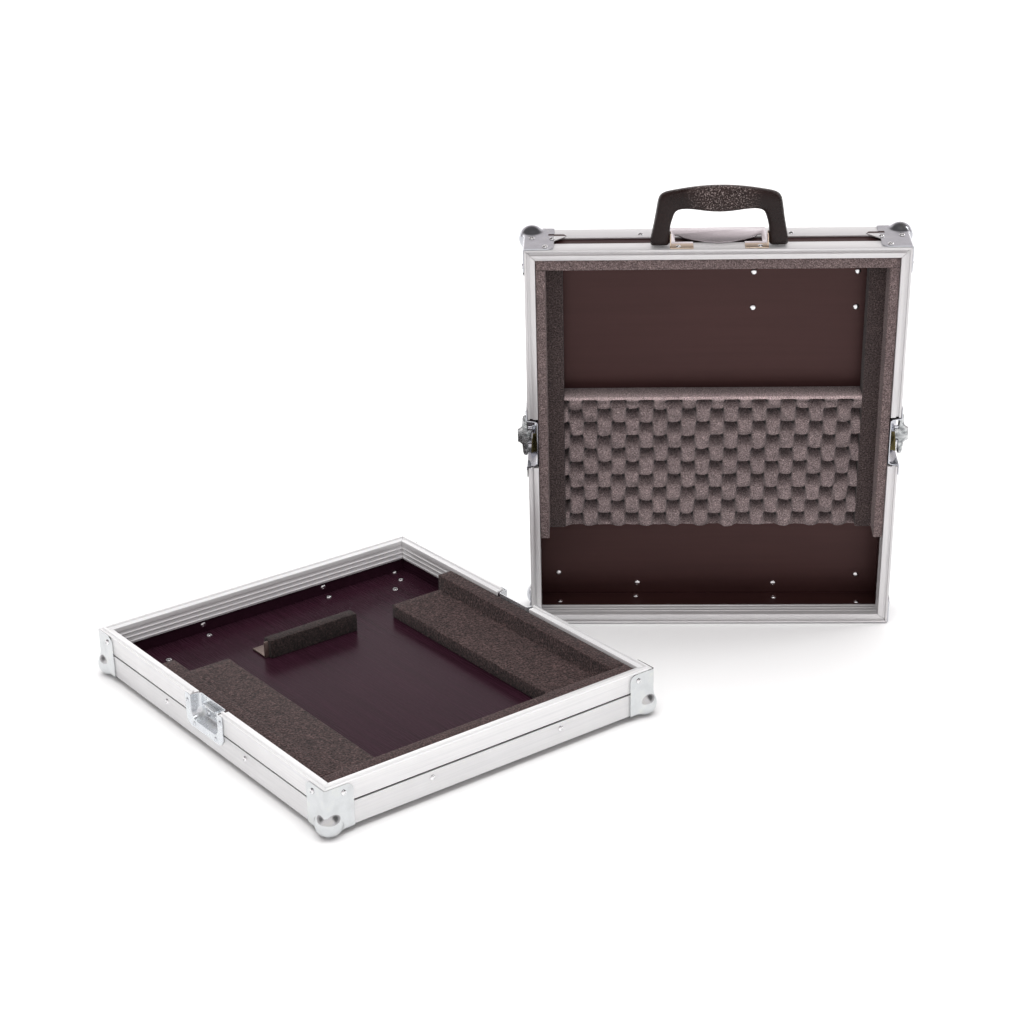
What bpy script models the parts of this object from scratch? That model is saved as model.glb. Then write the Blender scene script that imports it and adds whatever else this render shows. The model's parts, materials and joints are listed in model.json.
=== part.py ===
"""Sampler flight case in two halves: a shallow tray and its lift-off lid standing beside it.

Each half is built in its own shell frame: x across the width, y along the depth and z from the
outer face of its panel to its rim. The lid is then stood up behind the tray.
"""
import math

import bmesh
import bpy
from mathutils import Matrix, Vector

# Outer size of the closed case
WIDTH = 0.430
DEPTH = 0.485
TRAY_HEIGHT = 0.050
LID_HEIGHT = 0.066

# Walls: metal skin, fitting gap, plywood board, metal again
SKIN = 0.0022
GAP = 0.0003
BOARD = 0.0070
MITRE_GAP = 0.0002
BOARD_OUT = SKIN + GAP
BOARD_IN = BOARD_OUT + BOARD
FLOOR_TOP = BOARD_IN
ON_FLOOR = FLOOR_TOP + GAP
RIM_WIDTH = BOARD_IN + GAP + SKIN
INSIDE = RIM_WIDTH + GAP

# Edge angles and rim profiles
ANGLE_LEG = 0.0265
EDGE_SOFTENING = 0.0008
RIM_OUTER_LEG = 0.0214
RIM_INNER_LEG = 0.0250
RIB_HEIGHT = 0.0006
RIB_WIDTH = 0.0024
RIB_DEPTHS = (0.0225, 0.0165, 0.0105)
TRAY_WEB = 0.0026
LID_WEB = 0.0054
TONGUE_CENTRE = 0.0044
TONGUE_WIDTH = 0.0026
TONGUE_HEIGHT = 0.0024
GROOVE_WIDTH = 0.0036
GROOVE_DEPTH = 0.0028

# Ball corners
LEAF_WIDTH = 0.033
LEAF_SHEET = 0.0012
LEAF_ROUND = 0.008
TRAY_LEAF_SHORT = 0.0005
LID_LEAF_SHORT = 0.0020
BALL_RADIUS = 0.0148
BALL_SET_IN = 0.0072

# Latches and catches, a little off the middle of the depth towards the handle
LATCH_SHIFT = 0.002
DISH_SHEET = 0.0012
DISH_BACK = 0.0106
DISH_CORNER = 0.010
PLATE_CORNER = 0.012
RIM_CUT = 0.063
CATCH_PLATE_LENGTH = 0.080
CATCH_PLATE_LOW = 0.0125
CATCH_WELL_LENGTH = 0.056
CATCH_WELL_LOW = 0.0225
LATCH_PLATE_LENGTH = 0.086
LATCH_PLATE_LOW = 0.014
LATCH_WELL_LENGTH = 0.058
LATCH_WELL_LOW = 0.020
KEEPER_LENGTH = 0.026
KEEPER_HEIGHT = 0.016
KEEPER_LIP = 0.0050
KEEPER_SHEET = 0.0014
KEEPER_BELOW_RIM = 0.006

# Butterfly latch
ROTOR_FROM_RIM = 0.024
ROTOR_RADIUS = 0.0115
ROTOR_THICK = 0.0048
HOOK_WIDTH = 0.024
HOOK_SHEET = 0.0012
HOOK_TAIL = 0.010
HOOK_BEHIND_RIM = 0.004
HOOK_LIP = 0.0038
WING_BARREL_RADIUS = 0.0022
WING_BARREL_LENGTH = 0.015
WING_THICK = 0.0022
WING_SPAN = 0.052
WING_REACH = 0.0155
WING_ARM_OUT = 0.004
WING_ARM_WIDTH = 0.005
EAR_THICK = 0.0022
EAR_RADIUS = 0.0030
ROTOR_FACE = DISH_BACK - GAP - HOOK_SHEET - GAP
ROTOR_TOP = ROTOR_FACE - ROTOR_THICK
WING_AXIS_IN = ROTOR_TOP - GAP - WING_BARREL_RADIUS

# Carrying handle on the lid's top side
HANDLE_SHIFT = 0.002
HANDLE_LENGTH = 0.152
HANDLE_HEIGHT = 0.0698
HANDLE_DEPTH = 0.018
HANDLE_FROM_RIM = 0.014
HANDLE_PIVOT = 0.0095
HANDLE_FOOT_CLEAR = 0.0005
HANDLE_LEG = 0.0211
GRIP_UNDERSIDE = 0.0398
PIN_RADIUS = 0.0025
PIN_LENGTH = 0.010
PIN_CLEARANCE = 0.0003
BRACKET_SHEET = 0.0012
BRACKET_FRONT = 0.002
BRACKET_BACK = 0.064
BRACKET_TAB = 0.026
BRACKET_TAB_END = 0.0205
BRACKET_ARC_TOP = 0.018
EAR_HALF_WIDTH = 0.007

# Foam in the tray
TALL_FOAM_THICK = 0.0197
TALL_FOAM_TOP = 0.046
LOW_FOAM_WIDTH = 0.069
LOW_FOAM_TOP = 0.026
TRAY_FOAM_END = 0.365
STOP_START = 0.150
STOP_END = 0.275
STOP_FOAM_INSET = 0.005
STOP_LEG_AT = 0.366
STOP_LEG_HEIGHT = 0.0202
STOP_FOOT = 0.029
STOP_SHEET = 0.002
STOP_FOAM_FRONT = 0.0055
STOP_FOAM_THICK = 0.015
STOP_FOAM_TOP = 0.032

# Foam in the lid
LID_FOAM_THICK = 0.0127
LID_FOAM_BELOW_RIM = 0.003
LID_SIDE_FOAM_OUTER = 0.0107
LID_SIDE_FOAM_INNER = 0.0190
LID_STEP_BELOW_RIM = 0.030
LID_SIDE_FOAM_START = 0.117
PAD_START = 0.118
PAD_END = 0.290
PAD_VALLEY = 0.0085
PAD_PITCH = 0.033
PAD_STEPS_PER_PITCH = 4

# How the lid stands beside the tray
TRAY_TURN = math.radians(39.333)
LID_CLEAR_OF_TRAY = 0.0388
LID_ALONG_TRAY = 0.2699

ARC_STEPS = 4
BALL_SEGMENTS = 20
BALL_RINGS = 10
ROUND_SEGMENTS = 16

FINISHES = {
    'aluminium': ((0.78, 0.79, 0.80), 0.32, 1.0),
    'zinc plate': ((0.70, 0.71, 0.70), 0.22, 1.0),
    'bright steel': ((0.74, 0.74, 0.75), 0.15, 1.0),
    'phenolic plywood': ((0.055, 0.034, 0.036), 0.28, 0.0),
    'foam': ((0.085, 0.066, 0.070), 0.95, 0.0),
    'black plastic': ((0.035, 0.026, 0.024), 0.45, 0.0),
}

SIDES = ('front', 'right', 'back', 'left')
LID_SIDE_NAMES = {'front': 'bottom', 'right': 'right', 'back': 'top', 'left': 'left'}
CORNER_NAMES = {
    'front': 'front_left', 'right': 'front_right', 'back': 'back_right', 'left': 'back_left',
}
LID_CORNER_NAMES = {
    'front': 'bottom_left', 'right': 'bottom_right', 'back': 'top_right', 'left': 'top_left',
}


# Making solids

def clear_scene():
    """Remove whatever the scene holds."""
    for item in list(bpy.data.objects):
        bpy.data.objects.remove(item)


def object_from(name, bm):
    """Close a mesh with outward faces and put it in the scene."""
    bmesh.ops.recalc_face_normals(bm, faces=bm.faces)
    mesh = bpy.data.meshes.new(name)
    bm.to_mesh(mesh)
    bm.free()
    item = bpy.data.objects.new(name, mesh)
    bpy.context.scene.collection.objects.link(item)
    return item


def prism(name, start, end):
    """Make a solid between two matching outlines."""
    bm = bmesh.new()
    first = [bm.verts.new(point) for point in start]
    last = [bm.verts.new(point) for point in end]
    bm.faces.new(first)
    bm.faces.new(last[::-1])
    count = len(first)
    for i in range(count):
        j = (i + 1) % count
        bm.faces.new((first[j], first[i], last[i], last[j]))
    return object_from(name, bm)


def straight_prism(name, outline, low, high, place):
    """Extrude a flat outline between two levels, placed by a function of three values."""
    start = [place(p, q, low) for p, q in outline]
    end = [place(p, q, high) for p, q in outline]
    return prism(name, start, end)


def box(name, x_range, y_range, z_range):
    """Make a plain box."""
    outline = rectangle(x_range, y_range)
    return straight_prism(name, outline, z_range[0], z_range[1], lambda p, q, r: (p, q, r))


def rectangle(p_range, q_range):
    """Give the four corners of a rectangle."""
    p0, p1 = p_range
    q0, q1 = q_range
    return [(p0, q0), (p1, q0), (p1, q1), (p0, q1)]


def arc(centre, radius, start, end, steps=ARC_STEPS):
    """Give points along an arc, angles in degrees."""
    points = []
    for i in range(steps + 1):
        angle = math.radians(start + (end - start) * i / steps)
        points.append((centre[0] + radius * math.cos(angle), centre[1] + radius * math.sin(angle)))
    return points


def combine(target, tool, operation):
    """Join, cut or intersect a solid with a tool solid and discard the tool."""
    step = target.modifiers.new(operation.title(), 'BOOLEAN')
    step.operation = operation
    step.solver = 'EXACT'
    step.object = tool
    graph = bpy.context.evaluated_depsgraph_get()
    shaped = bpy.data.meshes.new_from_object(target.evaluated_get(graph))
    target.modifiers.clear()
    target.data = shaped
    bpy.data.objects.remove(tool)
    return target


def side_point(side, along, inward, height):
    """Turn a place measured on one side of a shell into the shell's coordinates."""
    if side == 'front':
        return (along, inward, height)
    if side == 'right':
        return (WIDTH - inward, along, height)
    if side == 'back':
        return (WIDTH - along, DEPTH - inward, height)
    return (inward, DEPTH - along, height)


def side_length(side):
    """Give the outer length of one side."""
    return WIDTH if side in ('front', 'back') else DEPTH


def finish(item, name, kind, parent, origin=(0.0, 0.0, 0.0)):
    """Name a piece, give it its material and origin, and hang it in its half."""
    item.name = name
    item.data.name = name
    colour, roughness, metallic = FINISHES[kind]
    material = bpy.data.materials.new(name + ' ' + kind)
    material.use_nodes = True
    surface = material.node_tree.nodes['Principled BSDF']
    surface.inputs['Base Color'].default_value = (*colour, 1.0)
    surface.inputs['Roughness'].default_value = roughness
    surface.inputs['Metallic'].default_value = metallic
    item.data.materials.clear()
    item.data.materials.append(material)
    item.data.transform(Matrix.Translation(-Vector(origin)))
    item.location = origin
    item.parent = parent
    return item


# Parts shared by both halves

def latch_middle(half, side):
    """Give where a half's latch sits along its left or right side."""
    return half['latch_y'] if side == 'right' else DEPTH - half['latch_y']


def build_panel(half):
    """Lay the large plywood panel of a half."""
    across = (BOARD_OUT, WIDTH - BOARD_OUT)
    deep = (BOARD_OUT, DEPTH - BOARD_OUT)
    panel = box('panel', across, deep, (BOARD_OUT, FLOOR_TOP))
    finish(panel, half['panel_name'], 'phenolic plywood', half['frame'])


def well_notch(half, side, low):
    """Make the block that clears a dish's well from a wall."""
    middle = latch_middle(half, side)
    reach = half['well_length'] / 2 + DISH_SHEET + GAP
    outline = rectangle((middle - reach, middle + reach), (-RIM_WIDTH, 2 * RIM_WIDTH))
    place = lambda along, inward, height: side_point(side, along, inward, height)
    return straight_prism('notch', outline, low, half['height'] * 2, place)


def build_boards(half):
    """Stand the four plywood walls of a half on its panel."""
    top = half['height'] - half['web'] - GAP
    for side in SIDES:
        inset = BOARD_OUT if side in ('front', 'back') else BOARD_IN + GAP
        outline = rectangle((inset, side_length(side) - inset), (BOARD_OUT, BOARD_IN))
        place = lambda along, inward, height: side_point(side, along, inward, height)
        board = straight_prism('board', outline, ON_FLOOR, top, place)
        if side in ('right', 'left'):
            combine(board, well_notch(half, side, half['well_low'] - DISH_SHEET - GAP), 'DIFFERENCE')
        finish(board, half['board_name'] + half['side_names'][side], 'phenolic plywood', half['frame'])


def rail(name, section, side, start, end, mitre_start, mitre_end):
    """Run a metal section along a side, its mitred ends cut at 45 degrees."""
    first = []
    last = []
    for inward, height in section:
        begin = start + inward + MITRE_GAP if mitre_start else start
        stop = end - inward - MITRE_GAP if mitre_end else end
        first.append(side_point(side, begin, inward, height))
        last.append(side_point(side, stop, inward, height))
    return prism(name, first, last)


def angle_section():
    """Outline the edge angle: one leg under the panel, one leg up the wall."""
    soft = EDGE_SOFTENING
    return [
        (soft, 0.0), (ANGLE_LEG, 0.0), (ANGLE_LEG, SKIN), (SKIN, SKIN),
        (SKIN, ANGLE_LEG), (soft / 2, ANGLE_LEG), (0.0, ANGLE_LEG - soft / 2), (0.0, soft),
    ]


def inner_leg(top):
    """Outline the rim's inner leg from the web down and up again, with its ribs."""
    points = [(BOARD_IN + GAP, top - RIM_INNER_LEG), (RIM_WIDTH - RIB_HEIGHT, top - RIM_INNER_LEG)]
    for depth in RIB_DEPTHS:
        low = top - depth - RIB_WIDTH / 2
        points.append((RIM_WIDTH - RIB_HEIGHT, low))
        points.append((RIM_WIDTH, low + RIB_HEIGHT))
        points.append((RIM_WIDTH, low + RIB_WIDTH - RIB_HEIGHT))
        points.append((RIM_WIDTH - RIB_HEIGHT, low + RIB_WIDTH))
    last_step = top - RIM_INNER_LEG / 4
    points.append((RIM_WIDTH - RIB_HEIGHT, last_step))
    points.append((RIM_WIDTH, last_step + RIB_HEIGHT))
    return points


def tray_rim_section():
    """Outline the tray's rim with its tongue."""
    top = TRAY_HEIGHT
    wide = TONGUE_WIDTH / 2
    soft = EDGE_SOFTENING / 2
    points = [(0.0, top - RIM_OUTER_LEG), (SKIN, top - RIM_OUTER_LEG), (SKIN, top - TRAY_WEB)]
    points.append((BOARD_IN + GAP, top - TRAY_WEB))
    points += inner_leg(top)
    points += [(RIM_WIDTH, top - soft), (RIM_WIDTH - soft, top)]
    points += [(TONGUE_CENTRE + wide + soft, top), (TONGUE_CENTRE + wide, top + TONGUE_HEIGHT)]
    points += [(TONGUE_CENTRE - wide, top + TONGUE_HEIGHT), (TONGUE_CENTRE - wide - soft, top)]
    points += [(soft, top), (0.0, top - soft)]
    return points


def lid_rim_section():
    """Outline the lid's rim with its groove."""
    top = LID_HEIGHT
    wide = GROOVE_WIDTH / 2
    soft = EDGE_SOFTENING / 2
    points = [(0.0, top - RIM_OUTER_LEG), (SKIN, top - RIM_OUTER_LEG), (SKIN, top - LID_WEB)]
    points.append((BOARD_IN + GAP, top - LID_WEB))
    points += inner_leg(top)
    points += [(RIM_WIDTH, top - soft), (RIM_WIDTH - soft, top)]
    points += [(TONGUE_CENTRE + wide, top), (TONGUE_CENTRE + wide, top - GROOVE_DEPTH)]
    points += [(TONGUE_CENTRE - wide, top - GROOVE_DEPTH), (TONGUE_CENTRE - wide, top)]
    points += [(soft, top), (0.0, top - soft)]
    return points


def build_angles(half):
    """Run the edge angles around the panel of a half."""
    for side in SIDES:
        angle = rail('angle', angle_section(), side, 0.0, side_length(side), True, True)
        if side in ('right', 'left'):
            combine(angle, well_notch(half, side, half['well_low'] - DISH_SHEET - GAP), 'DIFFERENCE')
        finish(angle, half['angle_name'] + half['side_names'][side], 'aluminium', half['frame'])


def build_rims(half):
    """Run the rim profiles, cut through where the dishes sit."""
    for side in SIDES:
        name = half['rim_name'] + half['side_names'][side]
        length = side_length(side)
        if side in ('front', 'back'):
            piece = rail('rim', half['rim_section'], side, 0.0, length, True, True)
            finish(piece, name, 'aluminium', half['frame'])
            continue
        middle = latch_middle(half, side)
        runs = ((0.0, middle - RIM_CUT / 2, True), (middle + RIM_CUT / 2, length, False))
        for start, end, first in runs:
            piece = rail('rim', half['rim_section'], side, start, end, first, not first)
            low_end = first == (side == 'right')
            finish(piece, name + half['end_names'][0 if low_end else 1], 'aluminium', half['frame'])


def leaf_outline(low, width, height):
    """Outline one leaf of a ball corner with its free corners rounded."""
    points = [(low, low), (width, low)]
    points += arc((width - LEAF_ROUND, height - LEAF_ROUND), LEAF_ROUND, 0, 90)
    points.append((low, height))
    return points


def build_ball_corners(half):
    """Fit the three-leaf corners with their balls."""
    near = -GAP
    out = -GAP - LEAF_SHEET
    leaf_top = half['height'] - half['leaf_short']
    for side in SIDES:
        place = lambda p, q, r: side_point(side, p, q, r)
        upright = leaf_outline(out, LEAF_WIDTH, leaf_top)
        flat = leaf_outline(out, LEAF_WIDTH, LEAF_WIDTH)
        corner = straight_prism('corner', upright, out, near, lambda p, r, q: place(p, q, r))
        other = straight_prism('leaf', upright, out, near, lambda q, r, p: place(p, q, r))
        under = straight_prism('leaf', flat, out, near, place)
        combine(corner, other, 'UNION')
        combine(corner, under, 'UNION')
        combine(corner, ball(place(BALL_SET_IN, BALL_SET_IN, BALL_SET_IN)), 'UNION')
        inside = rectangle((near, 2 * LEAF_WIDTH), (near, 2 * LEAF_WIDTH))
        combine(corner, straight_prism('inside', inside, near, 2 * leaf_top, place), 'DIFFERENCE')
        finish(corner, half['corner_name'] + half['corner_names'][side], 'zinc plate', half['frame'])


def ball(centre):
    """Make the ball of a corner."""
    bm = bmesh.new()
    bmesh.ops.create_uvsphere(bm, u_segments=BALL_SEGMENTS, v_segments=BALL_RINGS, radius=BALL_RADIUS)
    bmesh.ops.translate(bm, verts=bm.verts, vec=centre)
    return object_from('ball', bm)


# Dishes in the left and right sides

def lower_rounded(half_length, low, high, corner):
    """Outline a plate that is square at the rim and rounded at its far corners."""
    points = [(half_length, high), (-half_length, high)]
    points += arc((-half_length + corner, low + corner), corner, 180, 270)
    points += arc((half_length - corner, low + corner), corner, 270, 360)
    return points


def well_block(half, side, grow, top):
    """Make a well's hollow, or its outside when grown by the sheet."""
    middle = latch_middle(half, side)
    low = half['well_low'] - grow
    back = DISH_BACK + grow
    front = -3 * LEAF_SHEET if grow == 0.0 else -GAP - DISH_SHEET / 2
    face = lower_rounded(half['well_length'] / 2 + grow, low, top, DISH_CORNER + grow)
    profile = [(front, low), (DISH_BACK * 0.25, low), (DISH_BACK * 0.7 + grow, low + DISH_BACK * 0.35)]
    profile += [(back, low + DISH_BACK), (back, top), (front, top)]
    block = straight_prism('well', face, front, back, lambda p, q, r: side_point(side, middle + p, r, q))
    reach = half['well_length']
    across = lambda p, q, r: side_point(side, middle + r, p, q)
    scoop = straight_prism('scoop', profile, -reach, reach, across)
    return combine(block, scoop, 'INTERSECT')


def build_dish(half, side):
    """Press a dish: a plate on the skin with a well open towards the rim."""
    middle = latch_middle(half, side)
    top = half['height']
    outline = lower_rounded(half['plate_length'] / 2, half['plate_low'], top, PLATE_CORNER)
    place = lambda p, q, r: side_point(side, middle + p, r, q)
    dish = straight_prism('dish', outline, -GAP - DISH_SHEET, -GAP, place)
    combine(dish, well_block(half, side, DISH_SHEET, top), 'UNION')
    combine(dish, well_block(half, side, 0.0, 2 * top), 'DIFFERENCE')
    return dish


def build_catches(tray):
    """Fit the tray's catch dishes, each with its riveted keeper."""
    for side in ('left', 'right'):
        dish = build_dish(tray, side)
        middle = latch_middle(tray, side)
        high = tray['height'] - KEEPER_BELOW_RIM
        back = DISH_BACK + DISH_SHEET / 2
        front = DISH_BACK - KEEPER_SHEET
        section = [(front, high - KEEPER_HEIGHT), (back, high - KEEPER_HEIGHT), (back, high)]
        section += [(front - KEEPER_LIP, high), (front - KEEPER_LIP, high - KEEPER_SHEET)]
        section.append((front, high - KEEPER_SHEET))
        place = lambda p, q, r: side_point(side, middle + r, p, q)
        keeper = straight_prism('keeper', section, -KEEPER_LENGTH / 2, KEEPER_LENGTH / 2, place)
        combine(dish, keeper, 'UNION')
        finish(dish, 'tray_catch_' + side, 'zinc plate', tray['frame'])


# Butterfly latches on the lid

def cylinder(name, radius, low, high, place, segments=ROUND_SEGMENTS):
    """Make a round bar between two levels."""
    outline = arc((0.0, 0.0), radius, 0, 360 - 360 / segments, segments - 1)
    return straight_prism(name, outline, low, high, place)


def build_rotor(lid, side, middle, height):
    """Make the latch's turning disc with the two ears that hold its wing."""
    top = ROTOR_TOP
    facing = lambda p, q, r: side_point(side, middle + p, r, height + q)
    rotor = cylinder('rotor', ROTOR_RADIUS, top, ROTOR_FACE, facing)
    for sign in (-1, 1):
        near = WING_BARREL_LENGTH / 2 + 2 * GAP
        outline = [(EAR_RADIUS, top + SKIN / 4)]
        outline += [(-p, WING_AXIS_IN - q) for p, q in arc((0.0, 0.0), EAR_RADIUS, 180, 0)]
        outline.append((-EAR_RADIUS, top + SKIN / 4))
        low, high = sorted((sign * near, sign * (near + EAR_THICK)))
        place = lambda p, q, r: side_point(side, middle + r, q, height + p)
        combine(rotor, straight_prism('ear', outline, low, high, place), 'UNION')
    finish(rotor, 'latch_rotor_' + side, 'zinc plate', lid['frame'], side_point(side, middle, top, height))


def wing_outline():
    """Outline the butterfly wing, out from its hinge."""
    neck = WING_BARREL_LENGTH / 2
    tip = WING_SPAN / 2
    half = [
        (neck, 0.0), (neck, WING_ARM_OUT), (tip - 0.35 * WING_ARM_WIDTH, WING_ARM_OUT + 0.0006),
        (tip, WING_ARM_OUT + 0.45 * WING_ARM_WIDTH),
        (tip - 0.3 * WING_ARM_WIDTH, WING_ARM_OUT + 0.8 * WING_ARM_WIDTH),
        (neck * 1.6, WING_ARM_OUT + WING_ARM_WIDTH), (neck * 1.2, 0.78 * WING_REACH), (neck, WING_REACH),
    ]
    return half + [(-p, q) for p, q in reversed(half)]


def build_wing(lid, side, middle, height):
    """Make the folding wing of a latch, standing out from the side."""
    out = lambda p, q, r: side_point(side, middle + p, WING_AXIS_IN - q, height + r)
    wing = straight_prism('wing', wing_outline(), -WING_THICK / 2, WING_THICK / 2, out)
    across = lambda p, q, r: side_point(side, middle + r, WING_AXIS_IN + p, height + q)
    reach = WING_BARREL_LENGTH / 2
    barrel = cylinder('barrel', WING_BARREL_RADIUS, -reach, reach, across, ROUND_SEGMENTS)
    combine(wing, barrel, 'UNION')
    axis = side_point(side, middle, WING_AXIS_IN, height)
    finish(wing, 'latch_wing_' + side, 'zinc plate', lid['frame'], axis)


def build_hook(lid, side, middle, height):
    """Make the sliding hook plate behind a rotor."""
    back = DISH_BACK - GAP
    front = back - HOOK_SHEET
    low = height - HOOK_TAIL
    high = lid['height'] - HOOK_BEHIND_RIM
    section = [(front, low), (back, low), (back, high), (front - HOOK_LIP, high)]
    section += [(front - HOOK_LIP, high - HOOK_SHEET), (front, high - HOOK_SHEET)]
    place = lambda p, q, r: side_point(side, middle + r, p, q)
    hook = straight_prism('hook', section, -HOOK_WIDTH / 2, HOOK_WIDTH / 2, place)
    finish(hook, 'latch_hook_' + side, 'zinc plate', lid['frame'], side_point(side, middle, front, height))


def build_latches(lid):
    """Fit both latches of the lid."""
    height = lid['height'] - ROTOR_FROM_RIM
    for side in ('left', 'right'):
        middle = latch_middle(lid, side)
        finish(build_dish(lid, side), 'lid_latch_dish_' + side, 'zinc plate', lid['frame'])
        build_hook(lid, side, middle, height)
        build_rotor(lid, side, middle, height)
        build_wing(lid, side, middle, height)


# Handle on the lid's top side

def handle_outline():
    """Outline the handle seen from the front, measured from its middle and up from the lid's side."""
    foot = HANDLE_LENGTH / 2
    inner = foot - HANDLE_LEG
    low = HANDLE_FOOT_CLEAR
    top = HANDLE_HEIGHT
    under = GRIP_UNDERSIDE
    half = [
        (foot, low), (foot - 0.0021, 0.20 * top), (foot - 0.0043, 0.39 * top), (foot - 0.0068, 0.62 * top),
        (foot - 0.0090, 0.76 * top), (foot - 0.0128, 0.84 * top), (foot - 0.0240, 0.90 * top),
        (foot * 0.50, 0.952 * top), (foot * 0.25, 0.987 * top),
    ]
    hollow = [
        (foot * 0.20, under + 0.0006), (foot * 0.37, under + 0.0026), (foot * 0.50, under + 0.0037),
        (foot * 0.59, under + 0.0024), (inner - 0.0053, under - 0.0030), (inner - 0.0036, under - 0.0105),
        (inner, under - 0.0175), (inner, low),
    ]
    right = half + [(0.0, top)]
    left = [(-p, q) for p, q in reversed(half)]
    inside = [(-p, q) for p, q in reversed(hollow)] + [(0.0, under)] + hollow
    return right + left + inside


def handle_side_outline():
    """Outline the handle seen from its end: round feet about the pivot, soft top."""
    half = HANDLE_DEPTH / 2
    points = arc((0.0, HANDLE_PIVOT), half, 180, 360, 2 * ARC_STEPS)
    top = HANDLE_HEIGHT + 0.001
    points += arc((half - 0.006, top - 0.006), 0.006, 0, 90)
    points += arc((-half + 0.006, top - 0.006), 0.006, 90, 180)
    return points


def build_handle(lid):
    """Make the moulded handle with its pin holes."""
    middle = WIDTH / 2 + HANDLE_SHIFT
    level = lid['height'] - HANDLE_FROM_RIM
    seen = lambda p, q, r: (middle + p, DEPTH + q, level + r)
    handle = straight_prism('handle', handle_outline(), -HANDLE_DEPTH, HANDLE_DEPTH, seen)
    ends = lambda p, q, r: (middle + r, DEPTH + q, level + p)
    reach = HANDLE_LENGTH
    combine(handle, straight_prism('ends', handle_side_outline(), -reach, reach, ends), 'INTERSECT')
    inner = HANDLE_LENGTH / 2 - HANDLE_LEG
    for sign in (-1, 1):
        low, high = sorted((sign * (inner - PIN_LENGTH), sign * (inner + PIN_LENGTH + GAP)))
        hole = cylinder('hole', PIN_RADIUS + PIN_CLEARANCE, low, high, pivot_place(middle, level))
        combine(handle, hole, 'DIFFERENCE')
    finish(handle, 'carry_handle', 'black plastic', lid['frame'], (middle, DEPTH + HANDLE_PIVOT, level))


def pivot_place(middle, level):
    """Place rounds about the handle's pivot line."""
    return lambda p, q, r: (middle + r, DEPTH + HANDLE_PIVOT + p, level + q)


def bracket_outline(edge):
    """Outline the bracket plate: across from the middle and back from the rim."""
    slot = edge - 0.006
    half = [
        (edge, BRACKET_BACK), (edge, BRACKET_FRONT), (edge - BRACKET_TAB, BRACKET_FRONT),
        (edge - BRACKET_TAB, BRACKET_TAB_END), (slot, BRACKET_TAB_END), (slot, BRACKET_ARC_TOP + 0.025),
        (slot - 0.003, BRACKET_ARC_TOP + 0.0245), (slot - 0.010, BRACKET_ARC_TOP + 0.015),
        (slot - 0.019, BRACKET_ARC_TOP + 0.009), (slot - 0.033, BRACKET_ARC_TOP + 0.0035),
    ]
    return half + [(0.0, BRACKET_ARC_TOP)] + [(-p, q) for p, q in reversed(half)]


def build_bracket(lid):
    """Make the steel bracket under the handle, with its ears and pivot pins."""
    middle = WIDTH / 2 + HANDLE_SHIFT
    level = lid['height'] - HANDLE_FROM_RIM
    edge = HANDLE_LENGTH / 2 - HANDLE_LEG - GAP
    flat = lambda p, q, r: (middle + p, DEPTH + r, lid['height'] - q)
    bracket = straight_prism('bracket', bracket_outline(edge), GAP, GAP + BRACKET_SHEET, flat)
    ear = [(-EAR_HALF_WIDTH, GAP * 2), (EAR_HALF_WIDTH, GAP * 2)]
    ear += arc((0.0, HANDLE_PIVOT), EAR_HALF_WIDTH, 0, 180, 2 * ARC_STEPS)
    for sign in (-1, 1):
        low, high = sorted((sign * (edge - LEAF_SHEET), sign * edge))
        upright = lambda p, q, r: (middle + r, DEPTH + q, level + p)
        combine(bracket, straight_prism('ear', ear, low, high, upright), 'UNION')
        low, high = sorted((sign * (edge - LEAF_SHEET / 2), sign * (edge + PIN_LENGTH)))
        combine(bracket, cylinder('pin', PIN_RADIUS, low, high, pivot_place(middle, level)), 'UNION')
    finish(bracket, 'handle_bracket', 'bright steel', lid['frame'])


# Foam and the cable stop

def stepped_foam(name, half, side, section, start, end):
    """Run a stepped strip of foam along a side, measured in y."""
    place = lambda p, q, r: (p if side == 'left' else WIDTH - p, r, q)
    strip = straight_prism('foam', section, start, end, place)
    finish(strip, name, 'foam', half['frame'])


def build_tray_foam(tray):
    """Lay the tray's front strip and its two stepped side blocks."""
    inner = INSIDE + TALL_FOAM_THICK
    front = box('foam', (INSIDE, WIDTH - INSIDE), (INSIDE, inner + GAP), (ON_FLOOR, TALL_FOAM_TOP))
    finish(front, 'tray_foam_front', 'foam', tray['frame'])
    low_edge = inner + LOW_FOAM_WIDTH
    section = [(INSIDE, ON_FLOOR), (low_edge, ON_FLOOR), (low_edge, LOW_FOAM_TOP)]
    section += [(inner, LOW_FOAM_TOP), (inner, TALL_FOAM_TOP), (INSIDE, TALL_FOAM_TOP)]
    for side in ('left', 'right'):
        stepped_foam('tray_foam_' + side, tray, side, section, inner + 2 * GAP, TRAY_FOAM_END)


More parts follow.
